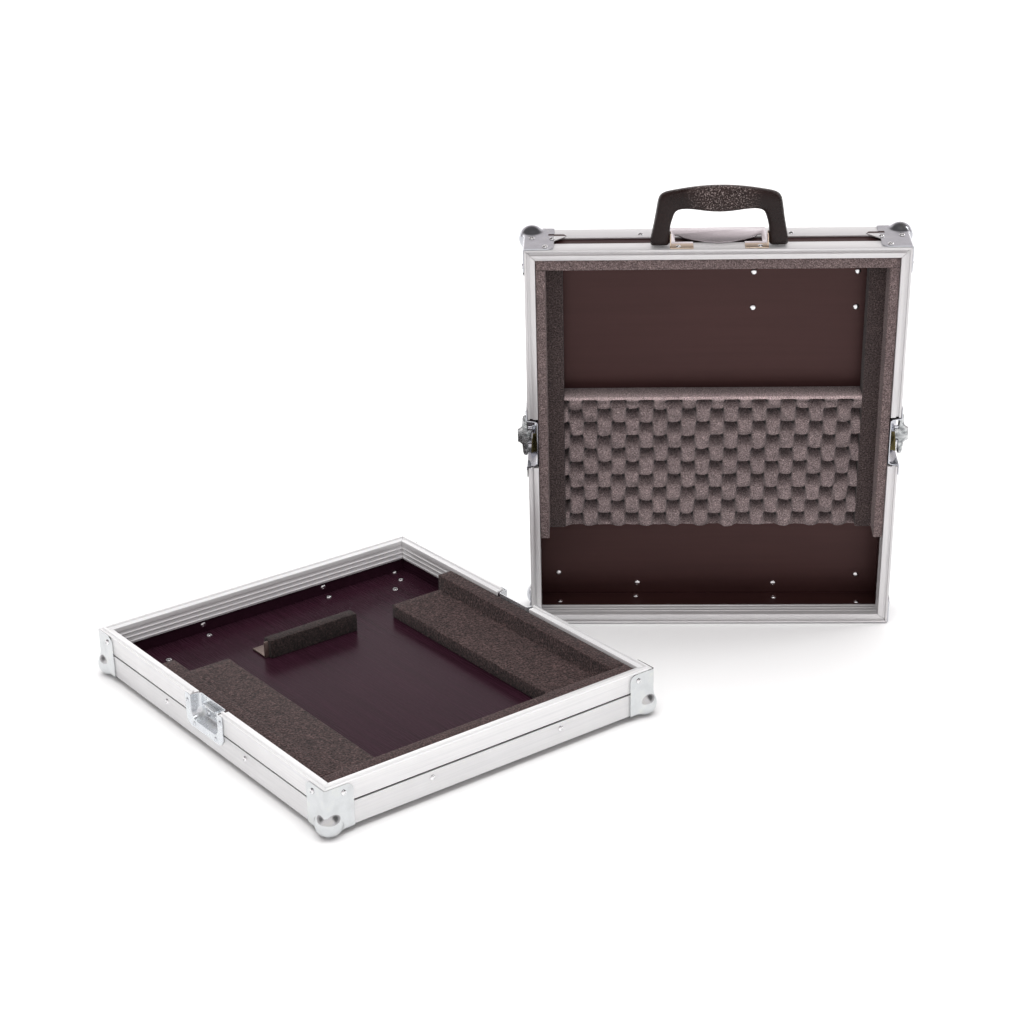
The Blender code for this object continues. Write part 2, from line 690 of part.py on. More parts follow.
def build_cable_stop(tray):
    """Fit the aluminium stop and the foam slit over it."""
    top = ON_FLOOR + STOP_LEG_HEIGHT
    leg = STOP_LEG_AT + STOP_SHEET
    foot = STOP_LEG_AT + STOP_FOOT
    section = [(STOP_LEG_AT, ON_FLOOR), (foot, ON_FLOOR), (foot, ON_FLOOR + STOP_SHEET)]
    section += [(leg, ON_FLOOR + STOP_SHEET), (leg, top), (STOP_LEG_AT, top)]
    place = lambda p, q, r: (r, p, q)
    angle = straight_prism('stop', section, STOP_START, STOP_END, place)
    finish(angle, 'cable_stop_angle', 'aluminium', tray['frame'])
    front = STOP_LEG_AT - STOP_FOAM_FRONT
    back = front + STOP_FOAM_THICK
    low = ON_FLOOR + STOP_SHEET + GAP
    section = [(front, ON_FLOOR), (STOP_LEG_AT - GAP, ON_FLOOR), (STOP_LEG_AT - GAP, top + GAP)]
    section += [(leg + GAP, top + GAP), (leg + GAP, low), (back, low)]
    section += [(back, STOP_FOAM_TOP), (front, STOP_FOAM_TOP)]
    foam = straight_prism('foam', section, STOP_START + STOP_FOAM_INSET, STOP_END, place)
    finish(foam, 'cable_stop_foam', 'foam', tray['frame'])


def build_lid_foam(lid):
    """Lay the lid's top strip, stepped side strips and egg-crate pad."""
    high = lid['height'] - LID_FOAM_BELOW_RIM
    step = lid['height'] - LID_STEP_BELOW_RIM
    strip_low = DEPTH - INSIDE - LID_FOAM_THICK
    top = box('foam', (INSIDE, WIDTH - INSIDE), (strip_low, DEPTH - INSIDE), (ON_FLOOR, high))
    finish(top, 'lid_foam_top', 'foam', lid['frame'])
    middle = INSIDE + LID_SIDE_FOAM_OUTER
    inner = middle + LID_SIDE_FOAM_INNER
    section = [(INSIDE, ON_FLOOR), (inner, ON_FLOOR), (inner, step)]
    section += [(middle, step), (middle, high), (INSIDE, high)]
    for side in ('left', 'right'):
        stepped_foam('lid_foam_' + side, lid, side, section, LID_SIDE_FOAM_START, strip_low - GAP)
    build_pad(lid, inner + GAP, WIDTH - inner - GAP, step)


def build_pad(lid, left, right, peak):
    """Make the egg-crate pad, its rows of bumps staggered by half a pitch."""
    valley = ON_FLOOR + PAD_VALLEY
    wave = 2 * math.pi / PAD_PITCH
    columns = round((right - left) / PAD_PITCH * PAD_STEPS_PER_PITCH)
    rows = round((PAD_END - PAD_START) / PAD_PITCH * PAD_STEPS_PER_PITCH)
    bm = bmesh.new()
    grid = []
    for j in range(rows + 1):
        y = PAD_START + (PAD_END - PAD_START) * j / rows
        line = []
        for i in range(columns + 1):
            x = left + (right - left) * i / columns
            bump = math.cos(wave * (x - WIDTH / 2)) * math.cos(wave * (y - PAD_START))
            line.append(bm.verts.new((x, y, valley + (peak - valley) * (0.5 + 0.5 * bump))))
        grid.append(line)
    for j in range(rows):
        for i in range(columns):
            bm.faces.new((grid[j][i], grid[j][i + 1], grid[j + 1][i + 1], grid[j + 1][i]))
    border = grid[0] + [line[-1] for line in grid[1:]] + grid[-1][-2::-1]
    border += [line[0] for line in grid[-2:0:-1]]
    under = [bm.verts.new((vert.co.x, vert.co.y, ON_FLOOR)) for vert in border]
    for i in range(len(border)):
        j = (i + 1) % len(border)
        bm.faces.new((border[i], under[i], under[j], border[j]))
    bm.faces.new(under)
    finish(object_from('pad', bm), 'lid_foam_egg_crate', 'foam', lid['frame'])


# Both halves and how they stand

def frame_empty(name):
    """Add the empty that carries one half."""
    empty = bpy.data.objects.new(name, None)
    bpy.context.scene.collection.objects.link(empty)
    return empty


def tray_half():
    """Gather what sets the tray apart."""
    return {
        'frame': frame_empty('tray_frame'),
        'height': TRAY_HEIGHT,
        'web': TRAY_WEB,
        'rim_section': tray_rim_section(),
        'leaf_short': TRAY_LEAF_SHORT,
        'latch_y': DEPTH / 2 - LATCH_SHIFT,
        'plate_length': CATCH_PLATE_LENGTH,
        'plate_low': CATCH_PLATE_LOW,
        'well_length': CATCH_WELL_LENGTH,
        'well_low': CATCH_WELL_LOW,
        'panel_name': 'tray_floor',
        'board_name': 'tray_board_',
        'angle_name': 'tray_angle_',
        'rim_name': 'tray_rim_',
        'corner_name': 'tray_ball_corner_',
        'corner_names': CORNER_NAMES,
        'side_names': {side: side for side in SIDES},
        'end_names': ('_front', '_back'),
    }


def lid_half():
    """Gather what sets the lid apart."""
    return {
        'frame': frame_empty('lid_frame'),
        'height': LID_HEIGHT,
        'web': LID_WEB,
        'rim_section': lid_rim_section(),
        'leaf_short': LID_LEAF_SHORT,
        'latch_y': DEPTH / 2 + LATCH_SHIFT,
        'plate_length': LATCH_PLATE_LENGTH,
        'plate_low': LATCH_PLATE_LOW,
        'well_length': LATCH_WELL_LENGTH,
        'well_low': LATCH_WELL_LOW,
        'panel_name': 'lid_panel',
        'board_name': 'lid_board_',
        'angle_name': 'lid_angle_',
        'rim_name': 'lid_rim_',
        'corner_name': 'lid_ball_corner_',
        'corner_names': LID_CORNER_NAMES,
        'side_names': LID_SIDE_NAMES,
        'end_names': ('_lower', '_upper'),
    }


def lid_lean():
    """Find how far the lid tips forward, standing on its front leaves and its two rear balls."""
    behind = LID_HEIGHT - BALL_SET_IN - LID_LEAF_SHORT
    above = BALL_SET_IN + GAP + LEAF_SHEET
    return math.asin(BALL_RADIUS / math.hypot(behind, above)) - math.atan2(above, behind)


def stand_halves(tray, lid):
    """Turn the tray, stand the lid up and put the origin under the middle of both."""
    drop = BALL_RADIUS - BALL_SET_IN
    tray_place = Matrix.Translation((0.0, 0.0, drop)) @ Matrix.Rotation(TRAY_TURN, 4, 'Z')
    upright = Matrix.Translation((0.0, LID_HEIGHT, 0.0)) @ Matrix.Rotation(math.pi / 2, 4, 'X')
    lean = lid_lean()
    beside = Matrix.Rotation(TRAY_TURN, 4, 'Z') @ Vector((WIDTH + LID_CLEAR_OF_TRAY, LID_ALONG_TRAY, 0.0))
    beside.z = (GAP + LEAF_SHEET) * math.cos(lean) - LID_LEAF_SHORT * math.sin(lean)
    lid_place = Matrix.Translation(beside) @ Matrix.Rotation(lean, 4, 'X') @ upright
    tray['frame'].matrix_world = tray_place
    lid['frame'].matrix_world = lid_place
    bpy.context.view_layer.update()
    corners = []
    for item in bpy.data.objects:
        if item.type == 'MESH':
            corners += [item.matrix_world @ vert.co for vert in item.data.vertices]
    middle = Vector(((min(c.x for c in corners) + max(c.x for c in corners)) / 2,
                     (min(c.y for c in corners) + max(c.y for c in corners)) / 2,
                     min(c.z for c in corners)))
    tray['frame'].matrix_world = Matrix.Translation(-middle) @ tray_place
    lid['frame'].matrix_world = Matrix.Translation(-middle) @ lid_place
    bpy.context.view_layer.update()


def build_case():
    """Build both halves and stand them as they are shown."""
    clear_scene()
    tray = tray_half()
    lid = lid_half()
    for half in (tray, lid):
        build_panel(half)
        build_boards(half)
        build_angles(half)
        build_rims(half)
        build_ball_corners(half)
    build_catches(tray)
    build_tray_foam(tray)
    build_cable_stop(tray)
    build_latches(lid)
    build_bracket(lid)
    build_handle(lid)
    build_lid_foam(lid)
    stand_halves(tray, lid)


build_case()
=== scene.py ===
import json
import math

import bmesh
import bpy
from mathutils import Matrix, Vector, noise

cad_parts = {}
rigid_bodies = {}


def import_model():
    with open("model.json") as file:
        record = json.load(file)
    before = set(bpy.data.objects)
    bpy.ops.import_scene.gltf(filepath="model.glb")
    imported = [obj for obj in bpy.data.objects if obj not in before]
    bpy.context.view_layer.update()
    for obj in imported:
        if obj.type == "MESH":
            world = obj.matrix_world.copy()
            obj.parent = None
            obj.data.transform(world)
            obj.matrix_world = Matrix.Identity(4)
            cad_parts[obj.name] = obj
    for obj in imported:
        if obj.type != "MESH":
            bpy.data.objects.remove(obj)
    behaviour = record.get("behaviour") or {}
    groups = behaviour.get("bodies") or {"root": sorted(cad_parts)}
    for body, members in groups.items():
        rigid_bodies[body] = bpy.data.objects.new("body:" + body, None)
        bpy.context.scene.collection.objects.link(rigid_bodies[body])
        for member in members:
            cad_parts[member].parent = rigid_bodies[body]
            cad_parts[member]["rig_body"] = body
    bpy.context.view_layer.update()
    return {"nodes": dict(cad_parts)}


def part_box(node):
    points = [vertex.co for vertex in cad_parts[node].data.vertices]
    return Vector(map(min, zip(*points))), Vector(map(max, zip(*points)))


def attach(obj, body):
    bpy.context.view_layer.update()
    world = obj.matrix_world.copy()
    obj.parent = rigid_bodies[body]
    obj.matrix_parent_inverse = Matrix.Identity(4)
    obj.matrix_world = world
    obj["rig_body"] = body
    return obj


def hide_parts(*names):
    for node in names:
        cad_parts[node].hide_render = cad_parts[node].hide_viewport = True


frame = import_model()
NODES = frame["nodes"]

# A fixed seed gives the foam the same ruffle in each run
noise.seed_set(7)

# Sizes of the case that its fittings share
WIDTH = 0.430
DEPTH = 0.485
TRAY_HEIGHT = 0.050
LID_HEIGHT = 0.066
PANEL_LEVEL = 0.0060
PANEL_TOP = 0.0095
WALL_INSIDE = 0.0095
FOAM_SEAT = 0.0098
INSIDE = 0.0123
TRAY_TURN = math.radians(39.333)
LID_TURN = math.radians(96.217)

# Ball corners
LEAF_SHEET = 0.0012
LEAF_OUT = 0.0015
LEAF_WIDTH = 0.033
LEAF_ROUND = 0.008
LEAF_FOLD = 0.0026
LEAF_BELOW_RIM = {"tray": 0.0005, "lid": 0.0020}
BALL_RADIUS = 0.0148
BALL_SET_IN = 0.0072
BALL_BLEND = 0.0016
NOTCH_LOW = 0.0184
NOTCH_HIGH = 0.0238
NOTCH_START = 0.0265

# Foam
TALL_FOAM = 0.0197
LOW_FOAM = 0.069
TALL_FOAM_TOP = 0.046
LOW_FOAM_TOP = 0.026
TRAY_FOAM_BACK = 0.365
TOP_STRIP = 0.0127
OUTER_STRIP = 0.0107
INNER_STRIP = 0.0190
LID_FOAM_TOP = 0.063
INNER_STRIP_TOP = 0.036
LID_FOAM_START = 0.117
PAD_START = 0.118
PAD_END = 0.290
FINGER_SPACING = 0.033
ROW_SPACING = 0.0346

# Latches, catches and handle
TRAY_LATCH = 0.2405
LID_LATCH = 0.2445
DISH_DEPTH = 0.0106
DISH_SHEET = 0.0012
DISH_LIFT = 0.0003
KEEPER_BELOW_RIM = 0.006
KEEPER_HEIGHT = 0.016
KEEPER_WIDTH = 0.026
KEEPER_NOSE = 0.005
KEEPER_SHEET = 0.0014
WING_SHEET = 0.0018
WING_SWELL = 0.0011
HINGE_OUT = -0.00275
HINGE_UP = LID_HEIGHT - 0.024
HANDLE_MIDDLE = 0.217
HANDLE_LEVEL = 0.052
TAB_LEVEL = LID_HEIGHT - 0.0150
TAB_SCREW = 0.0455

# Rivets
SIDE_RIVET_REACH = 0.0845
SIDE_RIVET_LEVEL = 0.0185
LEAF_RIVET_BELOW_RIM = 0.009
LEAF_RIVET_IN = 0.026


def shell_place(node, turn):
    """Find where a half's shell frame lies from the middle of its panel."""
    low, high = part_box(node)
    return Matrix.Translation((low + high) / 2 - turn @ Vector((WIDTH / 2, DEPTH / 2, PANEL_LEVEL))) @ turn


TRAY = shell_place("tray_floor", Matrix.Rotation(TRAY_TURN, 4, "Z"))
LID = shell_place("lid_panel", Matrix.Rotation(LID_TURN, 4, "X"))
TRAY_ANGLES = (0.0, 0.0, TRAY_TURN)
LID_ANGLES = (LID_TURN, 0.0, 0.0)


def side_frame(side, depth_in=0.0):
    """Give a side's own frame: x along it, y up to the rim, z outwards from its skin."""
    turns = {
        "front": ((1, 0, 0), (0, -1, 0), (0.0, depth_in)),
        "right": ((0, 1, 0), (1, 0, 0), (WIDTH - depth_in, 0.0)),
        "back": ((-1, 0, 0), (0, 1, 0), (WIDTH, DEPTH - depth_in)),
        "left": ((0, -1, 0), (-1, 0, 0), (depth_in, DEPTH)),
    }
    along, out, corner = turns[side]
    frame_matrix = Matrix((along, (0, 0, 1), out)).transposed().to_4x4()
    frame_matrix.translation = (corner[0], corner[1], 0.0)
    return frame_matrix


# Finishes

def finish_nodes(name, roughness, metallic=0.0):
    """Start a finish and hand back its node tree and surface shader."""
    material = bpy.data.materials.new(name)
    material.use_nodes = True
    tree = material.node_tree
    surface = tree.nodes["Principled BSDF"]
    surface.inputs["Roughness"].default_value = roughness
    surface.inputs["Metallic"].default_value = metallic
    return material, tree, surface


def pattern_space(tree, angles, size):
    """Lay a pattern in the turned frame of its half, with grains of one size or of three."""
    place = tree.nodes.new("ShaderNodeTexCoord")
    mapping = tree.nodes.new("ShaderNodeMapping")
    mapping.vector_type = "TEXTURE"
    mapping.inputs["Rotation"].default_value = angles
    mapping.inputs["Scale"].default_value = size if isinstance(size, tuple) else (size,) * 3
    tree.links.new(place.outputs["Object"], mapping.inputs["Vector"])
    return mapping.outputs["Vector"]


def grain(tree, angles, size, detail=4.0, rough=0.55):
    """Add a noise pattern."""
    texture = tree.nodes.new("ShaderNodeTexNoise")
    texture.inputs["Scale"].default_value = 1.0
    texture.inputs["Detail"].default_value = detail
    texture.inputs["Roughness"].default_value = rough
    tree.links.new(pattern_space(tree, angles, size), texture.inputs["Vector"])
    return texture.outputs["Fac"]


def cells(tree, angles, size, feature="F1"):
    """Add a cell pattern."""
    texture = tree.nodes.new("ShaderNodeTexVoronoi")
    texture.feature = feature
    texture.inputs["Scale"].default_value = 1.0
    tree.links.new(pattern_space(tree, angles, size), texture.inputs["Vector"])
    return texture.outputs["Distance"]


def ramp(tree, value, stops):
    """Turn a value into colours."""
    node = tree.nodes.new("ShaderNodeValToRGB")
    elements = node.color_ramp.elements
    while len(elements) < len(stops):
        elements.new(0.5)
    for element, (position, colour) in zip(elements, stops):
        element.position = position
        element.color = (*colour, 1.0)
    tree.links.new(value, node.inputs["Fac"])
    return node.outputs["Color"]


def spread(tree, value, low, high, start=0.3, end=0.7):
    """Spread a value over a range."""
    node = tree.nodes.new("ShaderNodeMapRange")
    node.inputs["From Min"].default_value = start
    node.inputs["From Max"].default_value = end
    node.inputs["To Min"].default_value = low
    node.inputs["To Max"].default_value = high
    tree.links.new(value, node.inputs["Value"])
    return node.outputs["Result"]


def blend_colours(tree, share, first, second, mode="MIX"):
    """Mix two colours by a share."""
    node = tree.nodes.new("ShaderNodeMix")
    node.data_type = "RGBA"
    node.blend_type = mode
    # Inputs 0, 6 and 7 are a colour mix's share and colours, and output 2 is its result
    for socket, value in zip((node.inputs[0], node.inputs[6], node.inputs[7]), (share, first, second)):
        if hasattr(value, "is_output"):
            tree.links.new(value, socket)
        elif isinstance(value, tuple):
            socket.default_value = (*value, 1.0)
        else:
            socket.default_value = value
    return node.outputs[2]


def relief(tree, surface, heights):
    """Raise the surface by several patterns, each with its strength and depth."""
    last = None
    for value, strength, distance in heights:
        node = tree.nodes.new("ShaderNodeBump")
        if hasattr(strength, "is_output"):
            tree.links.new(strength, node.inputs["Strength"])
        else:
            node.inputs["Strength"].default_value = strength
        node.inputs["Distance"].default_value = distance
        tree.links.new(value, node.inputs["Height"])
        if last:
            tree.links.new(last, node.inputs["Normal"])
        last = node.outputs["Normal"]
    tree.links.new(last, surface.inputs["Normal"])


def rolled_aluminium(name, angles, along, tone, sheen, metal, cast=(1.0, 1.0, 1.0)):
    """Extruded aluminium with drawing streaks along its length."""
    material, tree, surface = finish_nodes(name, sheen, metal)
    long_scale = tuple(0.12 if axis == along else 0.0016 for axis in range(3))
    streaks = grain(tree, angles, long_scale, 5.0, 0.62)
    clouds = grain(tree, angles, 0.05, 3.0)
    fine = grain(tree, angles, 0.0011, 2.0)
    body = ramp(tree, streaks, [(0.25, (tone * 0.90, tone * 0.905, tone * 0.915)),
                                (0.5, (tone, tone, tone * 1.005)),
                                (0.8, (min(1.0, tone * 1.06),) * 3)])
    tint = ramp(tree, clouds, [(0.3, tuple(0.96 * c for c in cast)), (0.7, cast)])
    tree.links.new(blend_colours(tree, 1.0, body, tint, "MULTIPLY"), surface.inputs["Base Color"])
    tree.links.new(spread(tree, streaks, sheen - 0.06, sheen + 0.10), surface.inputs["Roughness"])
    relief(tree, surface, [(streaks, 0.16, 0.0002), (fine, 0.05, 0.0001)])
    return material


def zinc_plate(name, angles, tone, sheen, metal=1.0):
    """Pressed steel with a bright zinc plate, slightly clouded."""
    material, tree, surface = finish_nodes(name, sheen, metal)
    clouds = grain(tree, angles, 0.012, 4.0)
    spots = grain(tree, angles, 0.0014, 3.0)
    wide = grain(tree, angles, 0.03, 2.0)
    body = ramp(tree, clouds, [(0.3, tuple(0.90 * c for c in tone)), (0.55, tone),
                               (0.75, (min(1.0, tone[0] * 1.06), min(1.0, tone[1] * 1.05), tone[2] * 0.99))])
    tree.links.new(body, surface.inputs["Base Color"])
    tree.links.new(spread(tree, clouds, sheen - 0.03, sheen + 0.07), surface.inputs["Roughness"])
    relief(tree, surface, [(wide, 0.08, 0.0036), (spots, 0.04, 0.0001)])
    return material


def cast_zinc(name, angles):
    """Small zinc casting with light and shade painted in patches, over a bump from the same patches."""
    material, tree, surface = finish_nodes(name, 0.22, 0.8)
    painted_patches_and_bump = grain(tree, angles, 0.0055, 1.5)
    skin = grain(tree, angles, 0.0007, 3.0)
    # The patches paint light and shade into the cast's colour; the same patches raise its bump
    body = ramp(tree, painted_patches_and_bump, [(0.36, (0.22, 0.23, 0.235)), (0.47, (0.36, 0.375, 0.38)),
                                (0.55, (0.48, 0.495, 0.50)), (0.68, (0.64, 0.65, 0.65))])
    tree.links.new(body, surface.inputs["Base Color"])
    tree.links.new(spread(tree, skin, 0.16, 0.30), surface.inputs["Roughness"])
    relief(tree, surface, [(painted_patches_and_bump, 0.18, 0.0006), (skin, 0.05, 0.0001)])
    return material


def bright_steel(name, angles, tone=(0.86, 0.86, 0.87), sheen=0.09, metal=1.0):
    """Polished steel with hairline scratches."""
    material, tree, surface = finish_nodes(name, sheen, metal)
    hairs = grain(tree, angles, (0.02, 0.0006, 0.0006), 3.0)
    waves = grain(tree, angles, (0.018, 0.010, 0.018), 2.0)
    tree.links.new(ramp(tree, waves, [(0.3, tuple(0.93 * c for c in tone)), (0.7, tone)]),
                   surface.inputs["Base Color"])
    tree.links.new(spread(tree, hairs, sheen, sheen + 0.07), surface.inputs["Roughness"])
    relief(tree, surface, [(waves, 0.16, 0.0008), (hairs, 0.03, 0.0001)])
    return material


def phenolic_plywood(name, angles, along, dark, light, sheen, glow, mirror):
    """Plywood under a dark phenolic film that lets a little grain through."""
    material, tree, surface = finish_nodes(name, sheen)
    lengths = tuple(0.140 if axis == along else 0.0060 for axis in range(3))
    veins = grain(tree, angles, lengths, 4.0, 0.55)
    hairs = grain(tree, angles, tuple(s * 0.22 for s in lengths), 3.0)
    clouds = grain(tree, angles, 0.11, 3.0)
    dots = grain(tree, angles, 0.0012, 2.0)
    middle = tuple((a + b) / 2 for a, b in zip(dark, light))
    body = ramp(tree, veins, [(0.25, dark), (0.5, middle), (0.78, light)])
    fine = ramp(tree, hairs, [(0.35, (0.93, 0.93, 0.93)), (0.65, (1.05, 1.05, 1.05))])
    shade = ramp(tree, clouds, [(0.3, (0.92, 0.91, 0.92)), (0.7, (1.08, 1.06, 1.06))])
    mixed = blend_colours(tree, 1.0, body, fine, "MULTIPLY")
    tree.links.new(blend_colours(tree, 1.0, mixed, shade, "MULTIPLY"), surface.inputs["Base Color"])
    tree.links.new(spread(tree, hairs, sheen - 0.03, sheen + 0.05), surface.inputs["Roughness"])
    surface.inputs["Specular Tint"].default_value = (*glow, 1.0)
    surface.inputs["Specular IOR Level"].default_value = mirror
    relief(tree, surface, [(veins, 0.05, 0.0002), (dots, 0.06, 0.0001)])
    return material


def cell_foam(name, angles, dark, light, pit=0.0023, shaded=False):
    """Open-cell foam: fine pits painted in shade, with painted light on the walls between them, on the high
    lumps and, as glints, on the brightest crumbs.
    """
    material, tree, surface = finish_nodes(name, 0.96)
    pits = cells(tree, angles, pit)
    crumbs = grain(tree, angles, pit * 0.80, 3.0, 0.65)
    lumps = grain(tree, angles, pit * 5, 3.0)
    clouds = grain(tree, angles, 0.06, 2.0)
    middle = tuple(0.6 * a + 0.4 * b for a, b in zip(dark, light))
    # The glint is a painted highlight on the brightest crumbs
    painted_glint = tuple(1.7 * c for c in light)
    body = ramp(tree, crumbs, [(0.36, dark), (0.5, middle), (0.62, light), (0.74, painted_glint)])
    # Painted shade in the pits and painted light on the walls between them
    holes = ramp(tree, pits, [(0.12, (0.42, 0.40, 0.40)), (0.50, (1.12, 1.12, 1.12))])
    # Painted shade in the low lumps and painted light on the high ones, from the same lumps that raise the
    # face
    shade = ramp(tree, lumps, [(0.3, (0.88, 0.88, 0.88)), (0.7, (1.10, 1.08, 1.08))])
    tone = ramp(tree, clouds, [(0.3, (0.94, 0.93, 0.94)), (0.7, (1.05, 1.04, 1.04))])
    mixed = blend_colours(tree, 1.0, body, holes, "MULTIPLY")
    mixed = blend_colours(tree, 1.0, mixed, shade, "MULTIPLY")
    mixed = blend_colours(tree, 1.0, mixed, tone, "MULTIPLY")
    # A shaded foam paints shadow from its own attribute: near black under overhangs, full light where the
    # attribute is full
    if shaded:
        painted_open_sky = tree.nodes.new("ShaderNodeAttribute")
        painted_open_sky.attribute_name = "painted_open_sky"
        shadow = ramp(tree, painted_open_sky.outputs["Fac"], [(0.0, (0.012, 0.010, 0.010)),
                                                      (0.42, (0.05, 0.045, 0.045)),
                                                      (0.66, (0.33, 0.33, 0.33)),
                                                      (0.80, (0.46, 0.46, 0.46)),
                                                      (1.0, (1.0, 1.0, 1.0))])
        mixed = blend_colours(tree, 1.0, mixed, shadow, "MULTIPLY")
    tree.links.new(mixed, surface.inputs["Base Color"])
    surface.inputs["Specular IOR Level"].default_value = 0.12
    surface.inputs["Sheen Weight"].default_value = 0.10
    surface.inputs["Sheen Roughness"].default_value = 0.6
    relief(tree, surface, [(lumps, 0.25, 0.0008), (pits, 0.60, 0.0010), (crumbs, 0.60, 0.0010)])
    return material


def grained_plastic(name, angles, middle, reach):
    """Moulded handle plastic with a leather-like grain, with painted highlights in the middle of the grip."""
    material, tree, surface = finish_nodes(name, 0.36)
    hide = cells(tree, angles, 0.0026)
    edges = cells(tree, angles, 0.0016, "DISTANCE_TO_EDGE")
    dust = grain(tree, angles, 0.0015, 3.0)
    worn = grain(tree, angles, 0.022, 3.0)
    split = tree.nodes.new("ShaderNodeSeparateXYZ")
    tree.links.new(pattern_space(tree, (0.0, 0.0, 0.0), 1.0), split.inputs["Vector"])
    along = spread(tree, split.outputs["X"], 0.0, 1.0, middle - reach, middle + reach)
    grip = ramp(tree, along, [(0.0, (0.0,) * 3), (0.24, (0.0,) * 3), (0.40, (1.0,) * 3), (0.66, (1.0,) * 3),
                              (0.80, (0.0,) * 3), (1.0, (0.0,) * 3)])
    body = ramp(tree, dust, [(0.3, (0.0080, 0.0036, 0.0031)), (0.7, (0.0165, 0.0076, 0.0068))])
    # Bright specks in the middle of the grip are painted highlights
    painted_highlights = ramp(tree, dust, [(0.3, (0.0115, 0.0058, 0.0052)), (0.54, (0.028, 0.016, 0.0145)),
                                (0.66, (0.340, 0.280, 0.265))])
    tone = ramp(tree, worn, [(0.3, (0.85, 0.85, 0.86)), (0.7, (1.15, 1.12, 1.12))])
    mixed = blend_colours(tree, grip, body, painted_highlights)
    tree.links.new(blend_colours(tree, 1.0, mixed, tone, "MULTIPLY"), surface.inputs["Base Color"])
    tree.links.new(spread(tree, worn, 0.24, 0.38), surface.inputs["Roughness"])
    surface.inputs["Specular IOR Level"].default_value = 0.25
    rough = spread(tree, grip, 0.30, 1.0, 0.0, 1.0)
    relief(tree, surface, [(edges, rough, 0.0009), (hide, 0.35, 0.0010), (dust, rough, 0.0014)])
    return material


def aluminium_pair(name, angles, *finish):
    """Make a drawn aluminium for lengths along x and one for lengths along y."""
    return [rolled_aluminium("%s %s" % (name, "xy"[axis]), angles, axis, *finish) for axis in (0, 1)]


ALUMINIUM = {
    "tray": aluminium_pair("tray aluminium", TRAY_ANGLES, 0.70, 0.38, 0.42),
    # The tray's rims take a lighter, more matt copy of the tray aluminium: partly a finish of their own,
    # partly painted light on their tops
    "rim": aluminium_pair("tray rim aluminium painted lighter", TRAY_ANGLES, 0.80, 0.38, 0.26),
    "lid": aluminium_pair("lid aluminium", LID_ANGLES, 0.68, 0.36, 0.54, (1.0, 0.985, 0.988)),
}
BRONZE = rolled_aluminium("bronze anodised aluminium", TRAY_ANGLES, 0, 0.34, 0.34, 0.9,
                          (1.0, 0.78, 0.68))

ZINC = {
    "tray": zinc_plate("tray zinc plate", TRAY_ANGLES, (0.65, 0.67, 0.68), 0.13),
    "lid": zinc_plate("lid zinc plate", LID_ANGLES, (0.54, 0.55, 0.59), 0.15),
}
SATIN_ZINC = zinc_plate("satin zinc plate", TRAY_ANGLES, (0.72, 0.75, 0.78), 0.24, 0.80)
YELLOW_ZINC = zinc_plate("yellow passivated zinc", LID_ANGLES, (0.095, 0.080, 0.036), 0.26)
WING_ZINC = cast_zinc("latch wing zinc", LID_ANGLES)

STEEL = {
    "tray": bright_steel("tray bright steel", TRAY_ANGLES),
    "lid": bright_steel("lid bright steel", LID_ANGLES),
}
BRACKET_STEEL = bright_steel("bracket steel", LID_ANGLES, (0.60, 0.545, 0.57), 0.20, 0.80)
# The tabs' tan colour is a painted reflection of the brown handle over them
TAB_STEEL_PAINTED_REFLECTION = bright_steel("bracket tab steel painted reflection", LID_ANGLES, (0.72, 0.58, 0.46), 0.24)

TRAY_FILM = phenolic_plywood("tray film plywood", TRAY_ANGLES, 1, (0.0170, 0.0060, 0.0100),
                             (0.0262, 0.0088, 0.0158), 0.26, (0.85, 0.40, 0.68), 0.06)
LID_FILM = phenolic_plywood("lid film plywood", LID_ANGLES, 0, (0.0165, 0.0060, 0.0058),
                            (0.0235, 0.0090, 0.0086), 0.40, (1.0, 0.62, 0.60), 0.55)

TRAY_FOAM = cell_foam("tray foam", TRAY_ANGLES, (0.0088, 0.0044, 0.0042), (0.078, 0.049, 0.047),
                      0.0027)
FRONT_FOAM = cell_foam("front strip foam", TRAY_ANGLES, (0.0125, 0.0064, 0.0062),
                       (0.098, 0.062, 0.060))
DARK_FOAM = cell_foam("cable stop foam", TRAY_ANGLES, (0.0058, 0.0034, 0.0032),
                      (0.040, 0.026, 0.0245))
# The lid foam is set about three times lighter than the tray foam: partly its own colour, partly painted
# light on the lid's inside
LID_FOAM_PAINTED_LIGHTER = cell_foam("lid foam painted lighter", LID_ANGLES, (0.078, 0.057, 0.056), (0.240, 0.187, 0.182), 0.0017)
# A darker copy of the lid foam: painted shade in the recess beside the outer strips
PAINTED_SHADE_STEP_FOAM = cell_foam("inner step foam painted shade", LID_ANGLES, (0.022, 0.015, 0.0145),
                       (0.092, 0.070, 0.068), 0.0020)
# The pad's foam is set light because its attribute paints shade over most of it; on the top strip it shows as
# painted light
PAD_FOAM = cell_foam("egg crate foam", LID_ANGLES, (0.240, 0.188, 0.187), (0.660, 0.535, 0.530),
                     0.0016, True)
PLASTIC = grained_plastic("grained plastic", LID_ANGLES, LID.translation.x + HANDLE_MIDDLE, 0.076)


# Making pieces

